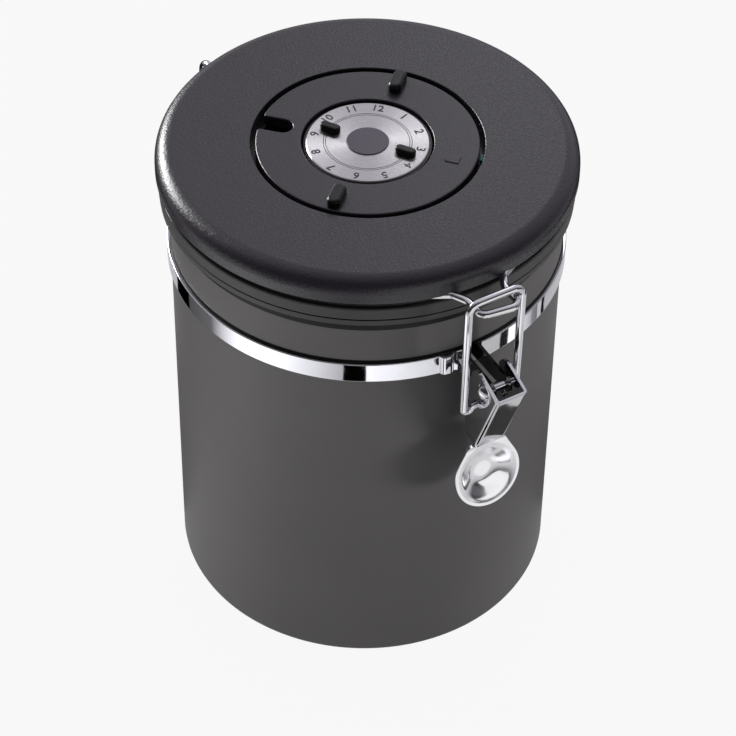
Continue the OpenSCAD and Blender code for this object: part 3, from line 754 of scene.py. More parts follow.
# Half of the wire, from the middle of the nose round to the hinge eye, as if on the right side
def hoopHalf(size, side):
    nose = -(lidHigh.x + size["noseReach"])
    root = (size["rootWidth"] / 2, -(lidHigh.x - 0.7))
    halfNose = size["noseWidth"] / 2
    corner = nose - side * halfNose * math.tan(math.radians(size["noseSkew"]))
    touch = math.atan2(root[0], -root[1]) + math.acos(size["radius"] / math.hypot(*root))
    touchPoint = (size["radius"] * math.sin(touch), -size["radius"] * math.cos(touch), 0)
    corners = [
        (0, nose, 0), (halfNose, corner, 0), (halfNose, root[1] - size["taper"], 0), (*root, 0), touchPoint,
    ]
    noseRun = turned(rounded(corners, [0, 2.8, 6, 3, 0], steps=10), side * size["noseTurn"])
    legX, bend = size["legSpan"] / 2, size["rootBend"]
    rearX = legX + bend
    rearY = math.sqrt((size["radius"] + bend) ** 2 - rearX**2)
    rearAngle = math.degrees(math.atan2(rearY, rearX))
    startAngle = math.degrees(touch) - 90 + side * size["noseTurn"]
    hoopRun = arc((0, 0), size["radius"], startAngle, rearAngle + side * size["legTurn"], 150)
    rootRun = arc((rearX, rearY), bend, 180 + rearAngle, 180, 14)
    drop = size["pinZ"] - size["z"]
    legRun = rounded([(legX, rearY, 0), (legX, size["legOut"], 0), (legX, size["legOut"], drop)], [0, size["legBend"], 0], steps=14)
    pinY = size["legOut"] - size["eyeR"]
    eyeRun = []
    for i in range(1, 41):
        a = math.radians(size["eyeSweep"] * i / 40)
        eyeRun.append(Vector((legX, pinY + size["eyeR"] * math.cos(a), drop - size["eyeR"] * math.sin(a))))
    legs = turned(rootRun[1:] + legRun[1:] + eyeRun, side * size["legTurn"])
    half = noseRun + hoopRun[1:] + legs
    return [Vector((side * p.x, p.y, p.z + size["z"])) for p in half]


def makeHoop(size):
    left, right = hoopHalf(size, -1), hoopHalf(size, 1)
    path = left[::-1] + right[1:]
    piece = sweptWire("wireHoop", path, size["wireR"], finishes["polished_steel"])
    install(piece, "lid", "polished_steel", "hoop_wire")


makeHoop(hoop)
print("lid and wire made")

# Latch
latch = {
    "pinY": -78.5,
    "pinZ": 129.9,
    "linkY": -74.57,
    "linkZ": 121.471,
    "barY": -75.1,
    "barZ": 164.15,
    "bailWidth": 18.6,
    "bailSide": -0.25,
    "cornerR": 3.4,
    "footX": 6.45,
    "footDrop": 5.2,
    "footR": 1.3,
    "stubX": 3.8,
}


def makeBail(size):
    rise = Vector((0, size["barY"] - size["linkY"], size["barZ"] - size["linkZ"]))
    length = rise.length
    up = rise.normalized()
    half = size["bailWidth"] / 2
    corners = [
        (size["stubX"], 0), (size["footX"], 0), (half, -size["footDrop"]), (half, length),
        (-half, length), (-half, -size["footDrop"]), (-size["footX"], 0), (-size["stubX"], 0),
    ]
    bend, foot = size["cornerR"], size["footR"]
    flat = rounded(corners, [0, foot, foot, bend, bend, foot, foot, 0], steps=12)
    origin = Vector((size["bailSide"], size["linkY"], size["linkZ"]))
    path = [origin + Vector((p.x, 0, 0)) + up * p.y for p in flat]
    piece = sweptWire("wireBail", path, hoop["wireR"], finishes["polished_steel"])
    install(piece, "latch_bail", "polished_steel", "bail")


lever = {
    "width": 10.8,
    "sheet": 0.9,
    "bend": 1.3,
    "web": -7.1,
    "top": 4.4,
    "bottom": -25.2,
    "lean": 21.0,
    "rear": [(4.6, 4.4), (6.6, 2.9), (7.3, 0.3), (1.8, -20.0), (-2.4, -26.0)],
    "tabCentre": (-11.3, -39.0),
    "tabTilt": 55.0,
    "tabR": 11.6,
    "bowlR": 9.7,
    "floorR": 4.3,
    "dish": 3.2,
    "neckHalf": 4.9,
    "joinAt": 12.6,
    "shoulder": 12.4,
    "pinHole": 1.58,
    "linkHole": 1.33,
}


def lerpAlong(points, value, key, result):
    for a, b in zip(points, points[1:]):
        low, high = sorted((a[key], b[key]))
        if low <= value <= high and high > low:
            t = (value - a[key]) / (b[key] - a[key])
            return a[result] + (b[result] - a[result]) * t
    return points[0][result] if value > points[0][key] else points[-1][result]


def smoothStep(t):
    t = min(max(t, 0), 1)
    return t * t * (3 - 2 * t)


# Folded sheet seen from the side: tab, valley, neck and web, as points (y, z) with their running length
class SheetLine:
    def __init__(self, size):
        tilt = math.radians(size["tabTilt"])
        along = Vector((math.cos(tilt), math.sin(tilt)))
        out = Vector((-along.y, along.x))
        centre = Vector(size["tabCentre"]) + out * size["sheet"] / 2
        valley = centre + along * size["tabR"]
        corners = [
            centre - along * (size["tabR"] + 1), valley,
            (size["web"], size["bottom"]), (size["web"], size["top"]),
        ]
        self.points = rounded(corners, [0, 2.2, 1.6, 0], steps=16)
        self.lengths = [-(size["tabR"] + 1)]
        for a, b in zip(self.points, self.points[1:]):
            self.lengths.append(self.lengths[-1] + (b - a).length)

    def place(self, t):
        i = 0
        while i < len(self.points) - 2 and self.lengths[i + 1] < t:
            i += 1
        a, b = self.points[i], self.points[i + 1]
        share = (t - self.lengths[i]) / (self.lengths[i + 1] - self.lengths[i])
        along = (b - a).normalized()
        return a + (b - a) * share, Vector((-along.y, along.x))

    def lengthAtHeight(self, z):
        for i in range(len(self.points) - 1, 0, -1):
            if self.points[i - 1].y <= z <= self.points[i].y:
                a, b = self.points[i - 1], self.points[i]
                return self.lengths[i - 1] + (z - a.y) / (b.y - a.y) * (b - a).length
        return self.lengths[-1]


def tabOutline(size, cornerAt):
    corner = (size["neckHalf"], cornerAt)
    reach = math.hypot(*corner)
    touch = math.atan2(corner[0], corner[1]) + math.acos(size["tabR"] / reach)
    touchPoint = (size["tabR"] * math.sin(touch), size["tabR"] * math.cos(touch))
    return corner, touch, touchPoint


def sideHalf(size, webLength, t, side):
    corner, _, touchPoint = tabOutline(size, webLength if side > 0 else size["shoulder"])
    share = min((t - touchPoint[1]) / (corner[1] - touchPoint[1]), 1)
    line = touchPoint[0] + (corner[0] - touchPoint[0]) * share
    flat = size["width"] / 2 - size["bend"]
    return flat + (line - flat) * smoothStep((webLength - t) / 1.6)


def makeLever(size):
    line = SheetLine(size)
    webLength = line.lengthAtHeight(size["bottom"] + 0.6)
    topLength = line.lengthAtHeight(size["top"])
    columns = 24
    bm = bmesh.new()

    def across(t):
        left, right = (sideHalf(size, webLength, t, side) for side in (-1, 1))
        return [-left + (left + right) * j / columns for j in range(columns + 1)]

    def sheetPoint(x, t, rise):
        spot, out = line.place(t)
        spot = spot + out * rise
        return bm.verts.new((x, spot.x, spot.y))

    # Tab: bowl and rim on rays about its middle
    dishLine = rounded(
        [(0, -size["dish"]), (size["floorR"], -size["dish"]), (size["bowlR"], 0), (size["tabR"], 0)],
        [0, 8, 6, 0], steps=12,
    )
    dishLine = [p for p in dishLine if 0 < p.x < size["bowlR"] + 0.9]
    dishLine = [p for p in dishLine if p.x < size["tabR"] - 0.25]
    bowl = [p.x for p in dishLine]
    inner = [size["floorR"] * k / 4 for k in range(1, 4)]
    bowl = [r for r in inner if r < bowl[0] - 0.1] + bowl
    rays = [math.atan2(x, size["joinAt"]) for x in across(size["joinAt"])]
    first, last = rays[-1], 2 * math.pi + rays[0]
    rest = 84
    rays += [first + (last - first) * j / rest for j in range(1, rest)]
    steps = 8
    rings = []
    for n, a in enumerate(rays):
        side = 1 if a <= math.pi else -1
        around = a if side > 0 else 2 * math.pi - a
        _, touch, _ = tabOutline(size, webLength if side > 0 else size["shoulder"])
        if n <= columns:
            edge = size["joinAt"] / math.cos(a)
        elif around < touch:
            low, high = 0.0, 30.0
            for _ in range(40):
                middle = (low + high) / 2
                t = middle * math.cos(around)
                inside = middle * math.sin(around) < sideHalf(size, webLength, t, side)
                low, high = (middle, high) if inside else (low, middle)
            edge = low
        else:
            edge = size["tabR"]
        radii = bowl + [bowl[-1] + (edge - bowl[-1]) * k / steps for k in range(1, steps + 1)]
        ring = []
        for r in radii:
            rise = -size["dish"] if r < dishLine[0].x else lerpAlong(dishLine, r, 0, 1) if r < bowl[-1] else 0
            ring.append(sheetPoint(r * math.sin(a), r * math.cos(a), rise))
        rings.append(ring)
    centre = sheetPoint(0, 0, -size["dish"])
    for here, there in zip(rings, rings[1:] + rings[:1]):
        bm.faces.new((centre, here[0], there[0]))
        for k in range(len(here) - 1):
            bm.faces.new((here[k], here[k + 1], there[k + 1], there[k]))
    for face in bm.faces:
        face.material_index = 1

    # Neck and web: rows from the tab up to the open top
    neckRows = [size["joinAt"] + (webLength - size["joinAt"]) * k / 12 for k in range(1, 13)]
    rearLine = rounded(size["rear"], [0, 0.8, 2.0, 2.0, 0], steps=5)
    heights = sorted({round(p.y, 3) for p in rearLine if p.y > size["bottom"] + 1} | {
        size["bottom"] + 0.6 + (size["top"] - size["bottom"] - 0.6) * k / 22 for k in range(23)
    })
    last = [ring[-1] for ring in rings[: columns + 1]]
    for t in neckRows:
        row = [sheetPoint(x, t, 0) for x in across(t)]
        for j in range(columns):
            bm.faces.new((last[j], last[j + 1], row[j + 1], row[j]))
        last = row
    flat = size["width"] / 2 - size["bend"]
    flatRow = [flat * (2 * j / columns - 1) for j in range(columns + 1)]
    cheekSteps, bendSteps = 12, 10
    lastSides = None
    for n, z in enumerate(heights):
        row = last if n == 0 else [sheetPoint(x, line.lengthAtHeight(z), 0) for x in flatRow]
        if n:
            for j in range(columns):
                bm.faces.new((last[j], last[j + 1], row[j + 1], row[j]))
        rear = lerpAlong(rearLine, z, 1, 0)
        fold = size["web"] + size["bend"]
        sides = []
        for sign in (-1, 1):
            strip = []
            for k in range(1, bendSteps + 1):
                a = math.pi / 2 * k / bendSteps
                x = sign * (flat + size["bend"] * math.sin(a))
                strip.append((x, fold - size["bend"] * math.cos(a)))
            for k in range(1, cheekSteps + 1):
                strip.append((sign * size["width"] / 2, fold + (rear - fold) * k / cheekSteps))
            made = []
            for x, y in strip:
                lean = min(max((y - size["web"]) / 4.7, 0), 1) * min(max((-12 - z) / 12, 0), 1)
                made.append(bm.verts.new((x, y, z - 1.0 * lean)))
            sides.append([row[0] if sign < 0 else row[-1], *made])
        if lastSides:
            for low, high in zip(lastSides, sides):
                for k in range(len(low) - 1):
                    bm.faces.new((low[k], low[k + 1], high[k + 1], high[k]))
        last, lastSides = row, sides
    bmesh.ops.remove_doubles(bm, verts=bm.verts, dist=1e-4)
    bmesh.ops.recalc_face_normals(bm, faces=bm.faces)
    bm.faces.ensure_lookup_table()
    web = min(bm.faces, key=lambda f: (f.calc_center_median() - Vector((0, size["web"], -8))).length)
    if web.normal.y > 0:
        bmesh.ops.reverse_faces(bm, faces=bm.faces)
    lean = Matrix.Rotation(math.radians(size["lean"]), 4, "X")
    place = Matrix.Translation((0, latch["pinY"], latch["pinZ"]))
    bm.transform(place @ lean)
    bm.transform(Matrix.Scale(mm, 4))
    mesh = bpy.data.meshes.new("leverSheet")
    bm.to_mesh(mesh)
    bm.free()
    piece = bpy.data.objects.new("leverSheet", mesh)
    scene.collection.objects.link(piece)
    mesh.materials.append(finishes["polished_steel"])
    mesh.materials.append(brightTab)
    wall = piece.modifiers.new("wall", "SOLIDIFY")
    wall.thickness = size["sheet"] * mm
    wall.offset = -1
    wall.use_even_offset = True
    edge = piece.modifiers.new("edge", "BEVEL")
    edge.width = 0.2 * mm
    edge.segments = 3
    edge.limit_method = "ANGLE"
    edge.angle_limit = math.radians(50)
    settle(piece)
    cutters = []
    for y, z, r in (
        (latch["pinY"], latch["pinZ"], size["pinHole"]), (latch["linkY"], latch["linkZ"], size["linkHole"]),
    ):
        across = Matrix.Translation((0, y, z)) @ Matrix.Rotation(math.pi / 2, 4, "Y")
        reach = size["width"] / 2 + 1
        outline = [(0, -reach, 0), (r, -reach, 0), (r, reach, 0), (0, reach, 0)]
        cutters.append(spun("cutter", outline, None, 40, move=across))
    for cutter in cutters:
        cut = piece.modifiers.new("hole", "BOOLEAN")
        cut.operation = "DIFFERENCE"
        cut.solver = "EXACT"
        cut.object = cutter
    settle(piece)
    for cutter in cutters:
        bpy.data.objects.remove(cutter)
    piece.data.shade_smooth()
    piece.data.set_sharp_from_angle(angle=math.radians(42))
    install(piece, "latch_lever", "polished_steel", "lever")


def makeLeverPin():
    reach = lever["width"] / 2 + 0.1
    headR, headH = 2.9, 1.4
    dome = []
    bend = (headR**2 + headH**2) / (2 * headH)
    span = math.asin(headR / bend)
    for i in range(11):
        a = span * i / 10
        dome.append((bend * math.sin(a), reach + headH - bend + bend * math.cos(a), 0))
    outline = dome + [(1.5, reach, 0)]
    mirrored = [(r, -z, 0) for r, z, _ in outline[::-1]]
    across = Matrix.Translation((0, latch["pinY"], latch["pinZ"])) @ Matrix.Rotation(math.pi / 2, 4, "Y")
    piece = spun("leverRivet", outline + mirrored, finishes["polished_steel"], 64, move=across)
    install(piece, "canister", "polished_steel", "lever_pin")


makeBail(latch)
makeLever(lever)
makeLeverPin()
print("latch made")

# Dials
dialLow, dialHigh = cadSpan("day_dial")
plateLow, plateHigh = cadSpan("number_plate")
dial = {
    "radius": 34.8,
    "top": 169.4,
    "thickness": 2.0,
    "soft": 0.5,
    "boreR": 20.6,
    "notchW": 6.3,
    "notchLen": 10.6,
    "notchAngle": 134.5,
    "notchCorner": 0.9,
    "ribAngle": 41.0,
    "ribLen": 9.6,
    "ribW": 4.4,
    "ribPitch": 29.5,
    "ribSoft": 1.1,
    "markTip": 24.1,
    "markLen": 5.7,
    "markW": 3.2,
    "markH": 0.3,
}


# Outer outline of the dial with its notch, drawn in by inset, about the notch along +X
def dialLoop(size, inset, z):
    radius = size["radius"]
    half = size["notchW"] / 2
    corner = size["notchCorner"]
    endX = radius - size["notchLen"] + half
    cornerX = math.sqrt((radius - corner) ** 2 - (half + corner) ** 2)
    open_ = math.degrees(math.atan2(half + corner, cornerX))
    loop = arc((0, 0), radius - inset, open_, 360 - open_, 220)
    loop += arc((cornerX, -half - corner), corner - inset, -open_, 90, 8)
    loop += arc((endX, 0), half + inset, 270, 90, 24)
    loop += arc((cornerX, half + corner), corner - inset, -90, open_, 8)
    return [Vector((p.x, p.y, z)) for p in loop]


def roundedLevels(low, high, soft, steps=6):
    levels = [(0, low)]
    for i in range(steps + 1):
        a = math.pi / 2 * i / steps
        levels.append((soft * (1 - math.cos(a)), high - soft * (1 - math.sin(a))))
    return levels


def makeOuterDial(size):
    low, top = size["top"] - size["thickness"], size["top"]
    skirt = cadSpan("day_dial")[0].z + 0.3
    bm = bmesh.new()
    levels = roundedLevels(skirt, top, size["soft"]) + [(size["soft"] + 0.3, top)]
    outer = stacked(bm, [dialLoop(size, inset, z) for inset, z in levels])
    bore = size["boreR"]
    innerLevels = [(bore, low)]
    for i in range(7):
        a = math.pi / 2 * i / 6
        innerLevels.append((bore + 0.4 * (1 - math.cos(a)), top - 0.4 * (1 - math.sin(a))))
    innerLevels.append((bore + 0.7, top))
    inner = stacked(bm, [arc((0, 0), r, 0, 360 * 179 / 180, 179) for r, _ in innerLevels])
    for ring, (_, z) in zip(inner, innerLevels):
        for vert in ring:
            vert.co.z = z
    for level in (-1, 0):
        ring, hole = outer[level], inner[level]
        bm.faces.new(ring[20:121] + hole[98:19:-1])
        bm.faces.new(ring[120:] + ring[:21] + hole[20::-1] + hole[179:97:-1])
    bm.transform(Matrix.Rotation(math.radians(size["notchAngle"]), 4, "Z"))
    disc = tidyMesh(bm, "outerDial", finishes["dial_plastic"])
    ribTop = dialHigh.z
    rib = pillMesh("rib", size["ribLen"], size["ribW"], top - 0.2, ribTop, size["ribSoft"])
    ribs = copiesRound("ribs", rib, 2, size["ribPitch"], size["ribAngle"], finishes["black_plastic"])
    mark = makeMark(size)
    piece = joined("outerDial", disc, ribs, mark)
    install(piece, "outer_dial", "dial_plastic", "day_dial")


# Raised arrow with a soft edge, tip towards the numbers
def makeMark(size):
    half, head, tip = size["markW"] / 2, size["markLen"] / 4, size["markTip"]
    corners = [
        (tip, 0), (tip + head, half), (tip + size["markLen"], half),
        (tip + size["markLen"], -half), (tip + head, -half),
    ]
    middle = Vector((tip + size["markLen"] / 2, 0, 0))
    bm = bmesh.new()
    loops = []
    for shrink, z in ((1.0, -0.1), (1.0, size["markH"] * 0.5), (0.93, size["markH"] * 0.9), (0.86, size["markH"])):
        loop = [middle + (Vector((x, y, 0)) - middle) * shrink for x, y in corners]
        loops.append([Vector((p.x, p.y, size["top"] + z)) for p in loop])
    made = stacked(bm, loops)
    bm.faces.new(made[-1])
    bm.faces.new(made[0])
    bm.transform(Matrix.Rotation(math.radians(size["ribAngle"] - 90), 4, "Z"))
    return tidyMesh(bm, "pointerMark", finishes["dial_plastic"])


rotor = {
    "radius": 20.0,
    "hubR": 6.0,
    "lugAngle": -56.0,
    "lugPitch": 12.9,
    "lugLen": 6.8,
    "lugW": 3.0,
    "lugSoft": 0.7,
    "plateR": 19.2,
    "plateTop": 169.1,
    "plateEdge": 0.3,
    "lineR": (13.05, 13.75),
    "lineW": 0.22,
    "numberR": 16.8,
    "numberH": 2.9,
    "firstNumber": 47.4,
    "numberBold": 0.012,
    "badgeR": 6.6,
}


def makeInnerDial(size):
    low, high = cadSpan("month_rotor")
    flangeTop = plateLow.z
    outline = [
        (2.58, low.z, 0), (size["hubR"], low.z, 0.3), (size["hubR"], flangeTop - 0.45, 0.3),
        (size["radius"], flangeTop - 0.45, 0.1), (size["radius"], flangeTop, 0.15), (2.58, flangeTop, 0),
    ]
    disc = spun("innerDial", outline, finishes["black_plastic"], 192)
    lug = pillMesh("lug", size["lugLen"], size["lugW"], flangeTop - 0.2, high.z, size["lugSoft"])
    lugs = copiesRound("lugs", lug, 2, size["lugPitch"], size["lugAngle"], finishes["black_plastic"])
    piece = joined("innerDial", disc, lugs)
    install(piece, "inner_dial", "black_plastic", "month_rotor")


def makePlate(size):
    top, low = size["plateTop"], plateLow.z
    depth, width = 0.08, size["lineW"] / 2
    grooves = []
    for r in size["lineR"]:
        grooves += [(r - width, top, 0), (r - width, top - depth, 0), (r + width, top - depth, 0), (r + width, top, 0)]
    edge = size["plateEdge"]
    outline = [
        (0, top, 0), *grooves, (size["plateR"] - edge, top, 0), (size["plateR"], top - edge, 0),
        (size["plateR"], low, 0), (0, low, 0),
    ]

    def paint(r, z):
        return 1 if z < top - depth * 0.9 and z > top - depth * 1.1 and r < 15 else 0

    piece = spun("numberPlate", outline, finishes["spun_metal"], 192, extra=[printInk], paint=paint)
    install(piece, "inner_dial", "spun_metal", "number_plate")


def makeNumbers(size):
    pieces = []
    for n in range(1, 13):
        text = bpy.data.curves.new(f"number{n}", "FONT")
        text.body = str(n)
        text.align_x = "CENTER"
        text.align_y = "CENTER"
        text.extrude = 0.03
        text.offset = 0 if n == 4 else size["numberBold"]
        text.resolution_u = 4
        number = bpy.data.objects.new(f"number{n}", text)
        scene.collection.objects.link(number)
        bpy.context.view_layer.update()
        graph = bpy.context.evaluated_depsgraph_get()
        mesh = bpy.data.meshes.new_from_object(number.evaluated_get(graph))
        bpy.data.objects.remove(number)
        low = Vector((min(v.co.x for v in mesh.vertices), min(v.co.y for v in mesh.vertices), 0))
        high = Vector((max(v.co.x for v in mesh.vertices), max(v.co.y for v in mesh.vertices), 0))
        angle = size["firstNumber"] - 30 * n
        grow = size["numberH"] / (high.y - low.y)
        centred = Matrix.Diagonal((grow, grow, 1, 1)) @ Matrix.Translation(-(low + high) / 2)
        upright = Matrix.Rotation(math.radians(-90), 4, "Z")
        out = Matrix.Translation((size["numberR"], 0, size["plateTop"] + 0.03))
        spin = Matrix.Rotation(math.radians(angle), 4, "Z")
        mesh.transform(Matrix.Scale(mm, 4) @ spin @ out @ upright @ centred)
        piece = bpy.data.objects.new(f"number{n}", mesh)
        scene.collection.objects.link(piece)
        mesh.materials.clear()
        mesh.materials.append(printInk)
        pieces.append(piece)
    piece = joined("plateNumbers", *pieces)
    install(piece, "inner_dial", "spun_metal")


def makeBadge(size):
    low, high = cadSpan("centre_badge")
    r = size["badgeR"]
    outline = [(0, low.z, 0), (r, low.z, 0), (r, high.z, 0.15), (0, high.z, 0)]
    piece = spun("badgeDisc", outline, finishes["badge_plastic"], 96)
    install(piece, "inner_dial", "badge_plastic", "centre_badge")


makeOuterDial(dial)
makeInnerDial(rotor)
makePlate(rotor)
makeNumbers(rotor)
makeBadge(rotor)
print("dials made")

# Carriers and the valve: construction pieces with broken edges
smallPieces = [
    ("latchEars", "latch_bracket", "canister", 0.12),
    ("hingeEars", "hinge_bracket", "canister", 0.15),
    ("hingeRod", "hinge_pin", "canister", 0.15),
    ("lidFrame", "lid_frame", "lid", 0.15),
    ("lidSeal", "lid_seal", "lid", 0.2),
    ("lidScrews", "lid_screws", "lid", 0.08),
    ("dialWell", "dial_well", "lid", 0.15),
    ("dialPads", "dial_pads", "lid", 0.2),
    ("valveCup", "valve_cup", "lid", 0.2),
    ("valveCap", "valve_cap", "lid", 0.1),
]
slotOf = {part["node"]: part["material_slot"] for part in frame["record"]["subparts"]}
for name, node, body, width in smallPieces:
    look = shadedSteel if name == "latchEars" else finishes[slotOf[node]]
    piece = softened(name, node, look, width)
    install(piece, body, slotOf[node], node)

for node, slot in slotOf.items():
    plain = nodes[node]
    plain.data.materials.clear()
    plain.data.materials.append(finishes[slot])
print("small pieces made")


# Studio; seen and mirrored are how much of the floor is plain white for the eye and for gloss,
# which fades outwards between two distances in metres
floorLook = {
    "tone": 0.5,
    "seen": 0.92,
    "mirrored": (0.62, 0.05),
    "fadeFrom": (0.33, 0.8),
}


def makeFloor(size):
    bpy.ops.mesh.primitive_plane_add(size=6)
    floor = bpy.context.object
    floor.name = "floor"
    mat, tree, shader = newMaterial("paleFloor")
    shader.inputs["Base Color"].default_value = (size["tone"], size["tone"], size["tone"], 1)
    shader.inputs["Roughness"].default_value = 0.8
    shader.inputs["Specular IOR Level"].default_value = 0.1
    path = addNode(tree, "ShaderNodeLightPath")
    away = axisDistance(tree, objectCoords(tree))
    mirrored = remap(tree, away, *size["mirrored"], *size["fadeFrom"])
    seen = addNode(tree, "ShaderNodeMath", operation="MAXIMUM")
    tree.links.new(path.outputs["Is Camera Ray"], seen.inputs[0])
    tree.links.new(path.outputs["Is Transmission Ray"], seen.inputs[1])
    plain = addNode(tree, "ShaderNodeMath", [(seen.outputs[0], 0)], operation="MULTIPLY")
    plain.inputs[1].default_value = size["seen"]
    gloss = addNode(tree, "ShaderNodeMath", [(path.outputs["Is Glossy Ray"], 0), (mirrored, 1)], operation="MULTIPLY")
    share = addNode(tree, "ShaderNodeMath", [(plain.outputs[0], 0), (gloss.outputs[0], 1)], operation="MAXIMUM")
    white = addNode(tree, "ShaderNodeEmission")
    white.inputs["Strength"].default_value = 1
    mix = addNode(tree, "ShaderNodeMixShader", [(share.outputs[0], 0)])
    tree.links.new(shader.outputs[0], mix.inputs[1])
    tree.links.new(white.outputs[0], mix.inputs[2])
    tree.links.new(mix.outputs[0], tree.nodes["Material Output"].inputs["Surface"])
    floor.data.materials.append(mat)


# Lamps stand by the camera's view: right, away and up, in metres
lamps = {
    "backStrip": {"spot": (0.15, 1.1, 1.0), "size": (0.2, 0.5), "power": 0.6},
    "leftBox": {"spot": (-0.9, 0.75, 0.5), "size": (0.6, 0.45), "power": 24, "diffuse": False},
    "leftFill": {"spot": (-0.85, -0.5, 0.12), "size": (0.35, 0.2), "power": 3.6, "mirrored": False},
    "rightFill": {"spot": (0.95, -0.45, 0.12), "size": (0.3, 0.2), "power": 3.4, "mirrored": False},
}


def areaLamp(name, setup):
    data = bpy.data.lights.new(name, "AREA")
    data.shape = "RECTANGLE"
    data.size, data.size_y = setup["size"]
    data.energy = setup["power"]
    lamp = bpy.data.objects.new(name, data)
    scene.collection.objects.link(lamp)
    spot = viewTurn @ Vector(setup["spot"])
    direction = Vector((0, 0, 0.13)) - spot
    lamp.matrix_world = Matrix.Translation(spot) @ direction.to_track_quat("-Z", "Y").to_matrix().to_4x4()
    lamp.visible_camera = False
    lamp.visible_diffuse = setup.get("diffuse", True)
    lamp.visible_glossy = setup.get("mirrored", True)


# Bright behind and above the canister, dark on the photographer's side
room = {
    "aim": (0, 0.8, 0.6),
    "darkAt": 0.0,
    "lightAt": 0.8,
    "dark": (0.05, 0.05, 0.05),
    "light": (0.76, 0.73, 0.81),
}


def makeWorld(size):
    world = bpy.data.worlds.new("room")
    world.use_nodes = True
    tree = world.node_tree
    back = tree.nodes["Background"]
    back.inputs["Strength"].default_value = 1
    coords = addNode(tree, "ShaderNodeTexCoord")
    away = addNode(tree, "ShaderNodeVectorMath", [(coords.outputs["Generated"], 0)], operation="DOT_PRODUCT")
    away.inputs[1].default_value = viewTurn @ Vector(size["aim"])
    share = remap(tree, away.outputs["Value"], 0, 1, size["darkAt"], size["lightAt"])
    shade = blendColors(tree, share, size["dark"], size["light"])
    tree.links.new(shade, back.inputs["Color"])
    scene.world = world


# Cards on the floor that only the polished band mirrors; each band is (from, to, first tone, last tone)
# with its angles round the canister seen from the camera's side
bandCards = {
    "bands": [
        (-180, -158, 0.33, 0.33), (-158, -149.5, 0.0, 0.0), (-149.5, -138, 0.06, 0.1),
        (-138, -127, 0.12, 1.0), (-127, -117, 1.0, 1.0), (-117, -95.8, 1.0, 0.34),
        (-95.8, -89.5, 0.0, 0.0), (-89.5, -68, 0.85, 0.5),
        (-46, -41, 1.0, 0.6), (-41, -36, 0.6, 0.3), (-36, -33, 0.2, 0.12), (-33, -30.8, 0.4, 0.4),
        (-30.8, -29, 0.0, 0.0), (-29, 0, 0.33, 0.33),
    ],
    "z": 0.8,
    "near": 0.72,
    "far": 1.3,
    "gain": 1.9,
}


def stageOnly(card):
    card.visible_camera = False
    card.visible_diffuse = False
    card.visible_shadow = False
    card.visible_transmission = False


def mirroredSpot(angle, height):
    eye = scene.camera.matrix_world.translation / mm
    a = math.radians(angle + cameraSetup["azimuth"])
    out = Vector((math.cos(a), math.sin(a), 0))
    spot = out * strapHigh.x + Vector((0, 0, height))
    ray = spot - eye
    ray -= 2 * ray.dot(out) * out
    reach = (bandCards["z"] - spot.z) / ray.z
    return spot, spot + ray * reach


def makeBandCards(size):
    bm = bmesh.new()
    tone = bm.loops.layers.float_color.new("tone")
    height = (strapLow.z + strapHigh.z) / 2
    for start, stop, first, last in size["bands"]:
        count = max(2, math.ceil(abs(stop - start) / 1.5))
        rows = []
        for i in range(count + 1):
            share = i / count
            foot, hit = mirroredSpot(start + (stop - start) * share, height)
            foot.z = hit.z
            ends = [bm.verts.new(foot.lerp(hit, size[k]) * mm) for k in ("near", "far")]
            rows.append((ends, first + (last - first) * share))
        for (here, light), (there, next_) in zip(rows, rows[1:]):
            face = bm.faces.new((here[0], here[1], there[1], there[0]))
            for loop, value in zip(face.loops, (light, light, next_, next_)):
                loop[tone] = (*[value * size["gain"] * c for c in (1, 1, 1.04)], 1)
    mesh = bpy.data.meshes.new("bandCards")
    bm.to_mesh(mesh)
    bm.free()
    mat, tree, shader = newMaterial("cardTone")
    tree.nodes.remove(shader)
    shade = addNode(tree, "ShaderNodeAttribute", attribute_name="tone")
    glow = addNode(tree, "ShaderNodeEmission", [(shade.outputs["Color"], "Color")])
    tree.links.new(glow.outputs[0], tree.nodes["Material Output"].inputs["Surface"])
    mesh.materials.append(mat)
    strips = bpy.data.objects.new("bandCards", mesh)
    scene.collection.objects.link(strips)
    stageOnly(strips)


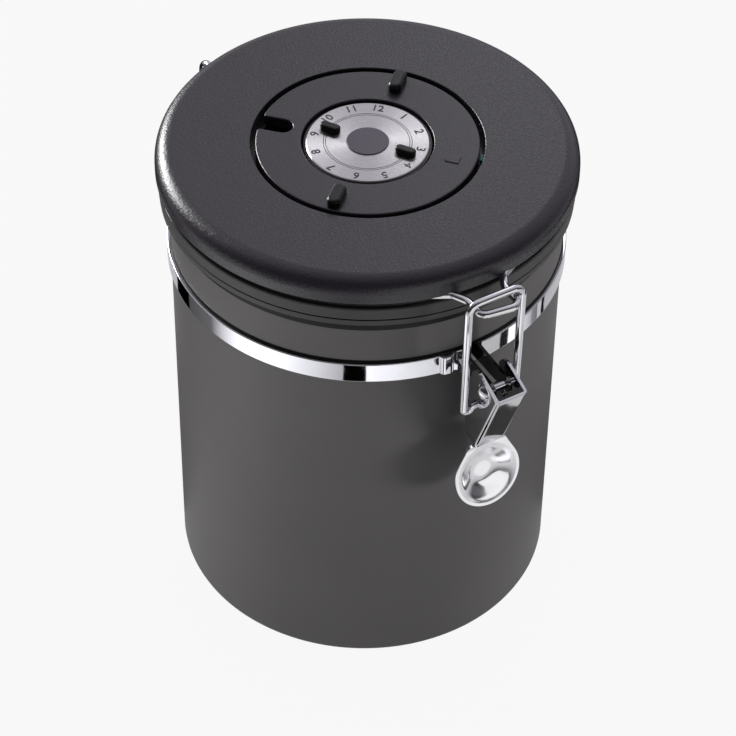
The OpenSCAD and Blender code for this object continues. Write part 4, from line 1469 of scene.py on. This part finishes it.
# Cards that only gloss mirrors: flags beside the canister, set by the camera's view, and small ones
# for the finger tab, with their corners in millimetres
cards = {
    "rightFlag": {
        "tone": 0.02, "byView": True,
        "corners": [(66, 10), (150, -60), (330, -60), (450, 600), (20, 600), (62, 40)],
    },
    "leftFlag": {
        "tone": 0.02, "byView": True,
        "corners": [(-66, 0), (-150, 10), (-400, 60), (-450, 600), (-20, 600), (-60, 40)],
    },
    "leftGlow": {
        "tone": 1.5, "byView": True,
        "corners": [(-105, -240), (-250, -180), (-300, -20), (-180, -15), (-145, -80), (-95, -140)],
    },
    "bendDark": {"tone": 0.0, "corners": [(-22, -97), (-22, -82), (-64, -62), (-72, -84)]},
    "bowlDark": {"tone": 0.02, "corners": [(0, -128), (-24, -128), (-100, -250), (-60, -270), (-15, -200)]},
    "bowlLine": {
        "tone": 0.05,
        "corners": [(10, -112), (25, -90), (45, -72), (62, -64), (86, -72), (86, -84), (64, -76), (48, -86), (26, -110)],
    },
    "rimLight": {"tone": 1.0, "corners": [(55, -215), (55, -335), (135, -335), (135, -215)]},
    "bowlLight": {"tone": 1.05, "low": 92, "high": 205, "corners": [(-90, -185), (90, -185), (90, -215), (-90, -215)]},
}
cardLift = 0.5


def makeCard(name, size):
    corners = [(x, y, cardLift) for x, y in size["corners"]]
    if "high" in size:
        (left, near), (right, _), (_, far), _ = size["corners"]
        low, high = size["low"], size["high"]
        corners = [(left, near, low), (right, near, low), (right, far, high), (left, far, high)]
    if size.get("byView"):
        corners = [viewTurn @ Vector(c) for c in corners]
    mesh = bpy.data.meshes.new(name)
    mesh.from_pydata([Vector(c) * mm for c in corners], [], [tuple(range(len(corners)))])
    mat, tree, shader = newMaterial(name)
    tree.nodes.remove(shader)
    glow = addNode(tree, "ShaderNodeEmission")
    glow.inputs["Color"].default_value = (size["tone"], size["tone"], size["tone"], 1)
    tree.links.new(glow.outputs[0], tree.nodes["Material Output"].inputs["Surface"])
    mesh.materials.append(mat)
    card = bpy.data.objects.new(name, mesh)
    scene.collection.objects.link(card)
    stageOnly(card)


makeFloor(floorLook)
for name, setup in lamps.items():
    areaLamp(name, setup)
makeWorld(room)
makeBandCards(bandCards)
for name, setup in cards.items():
    makeCard(name, setup)
scene.view_settings.view_transform = "Standard"
print("studio lit")
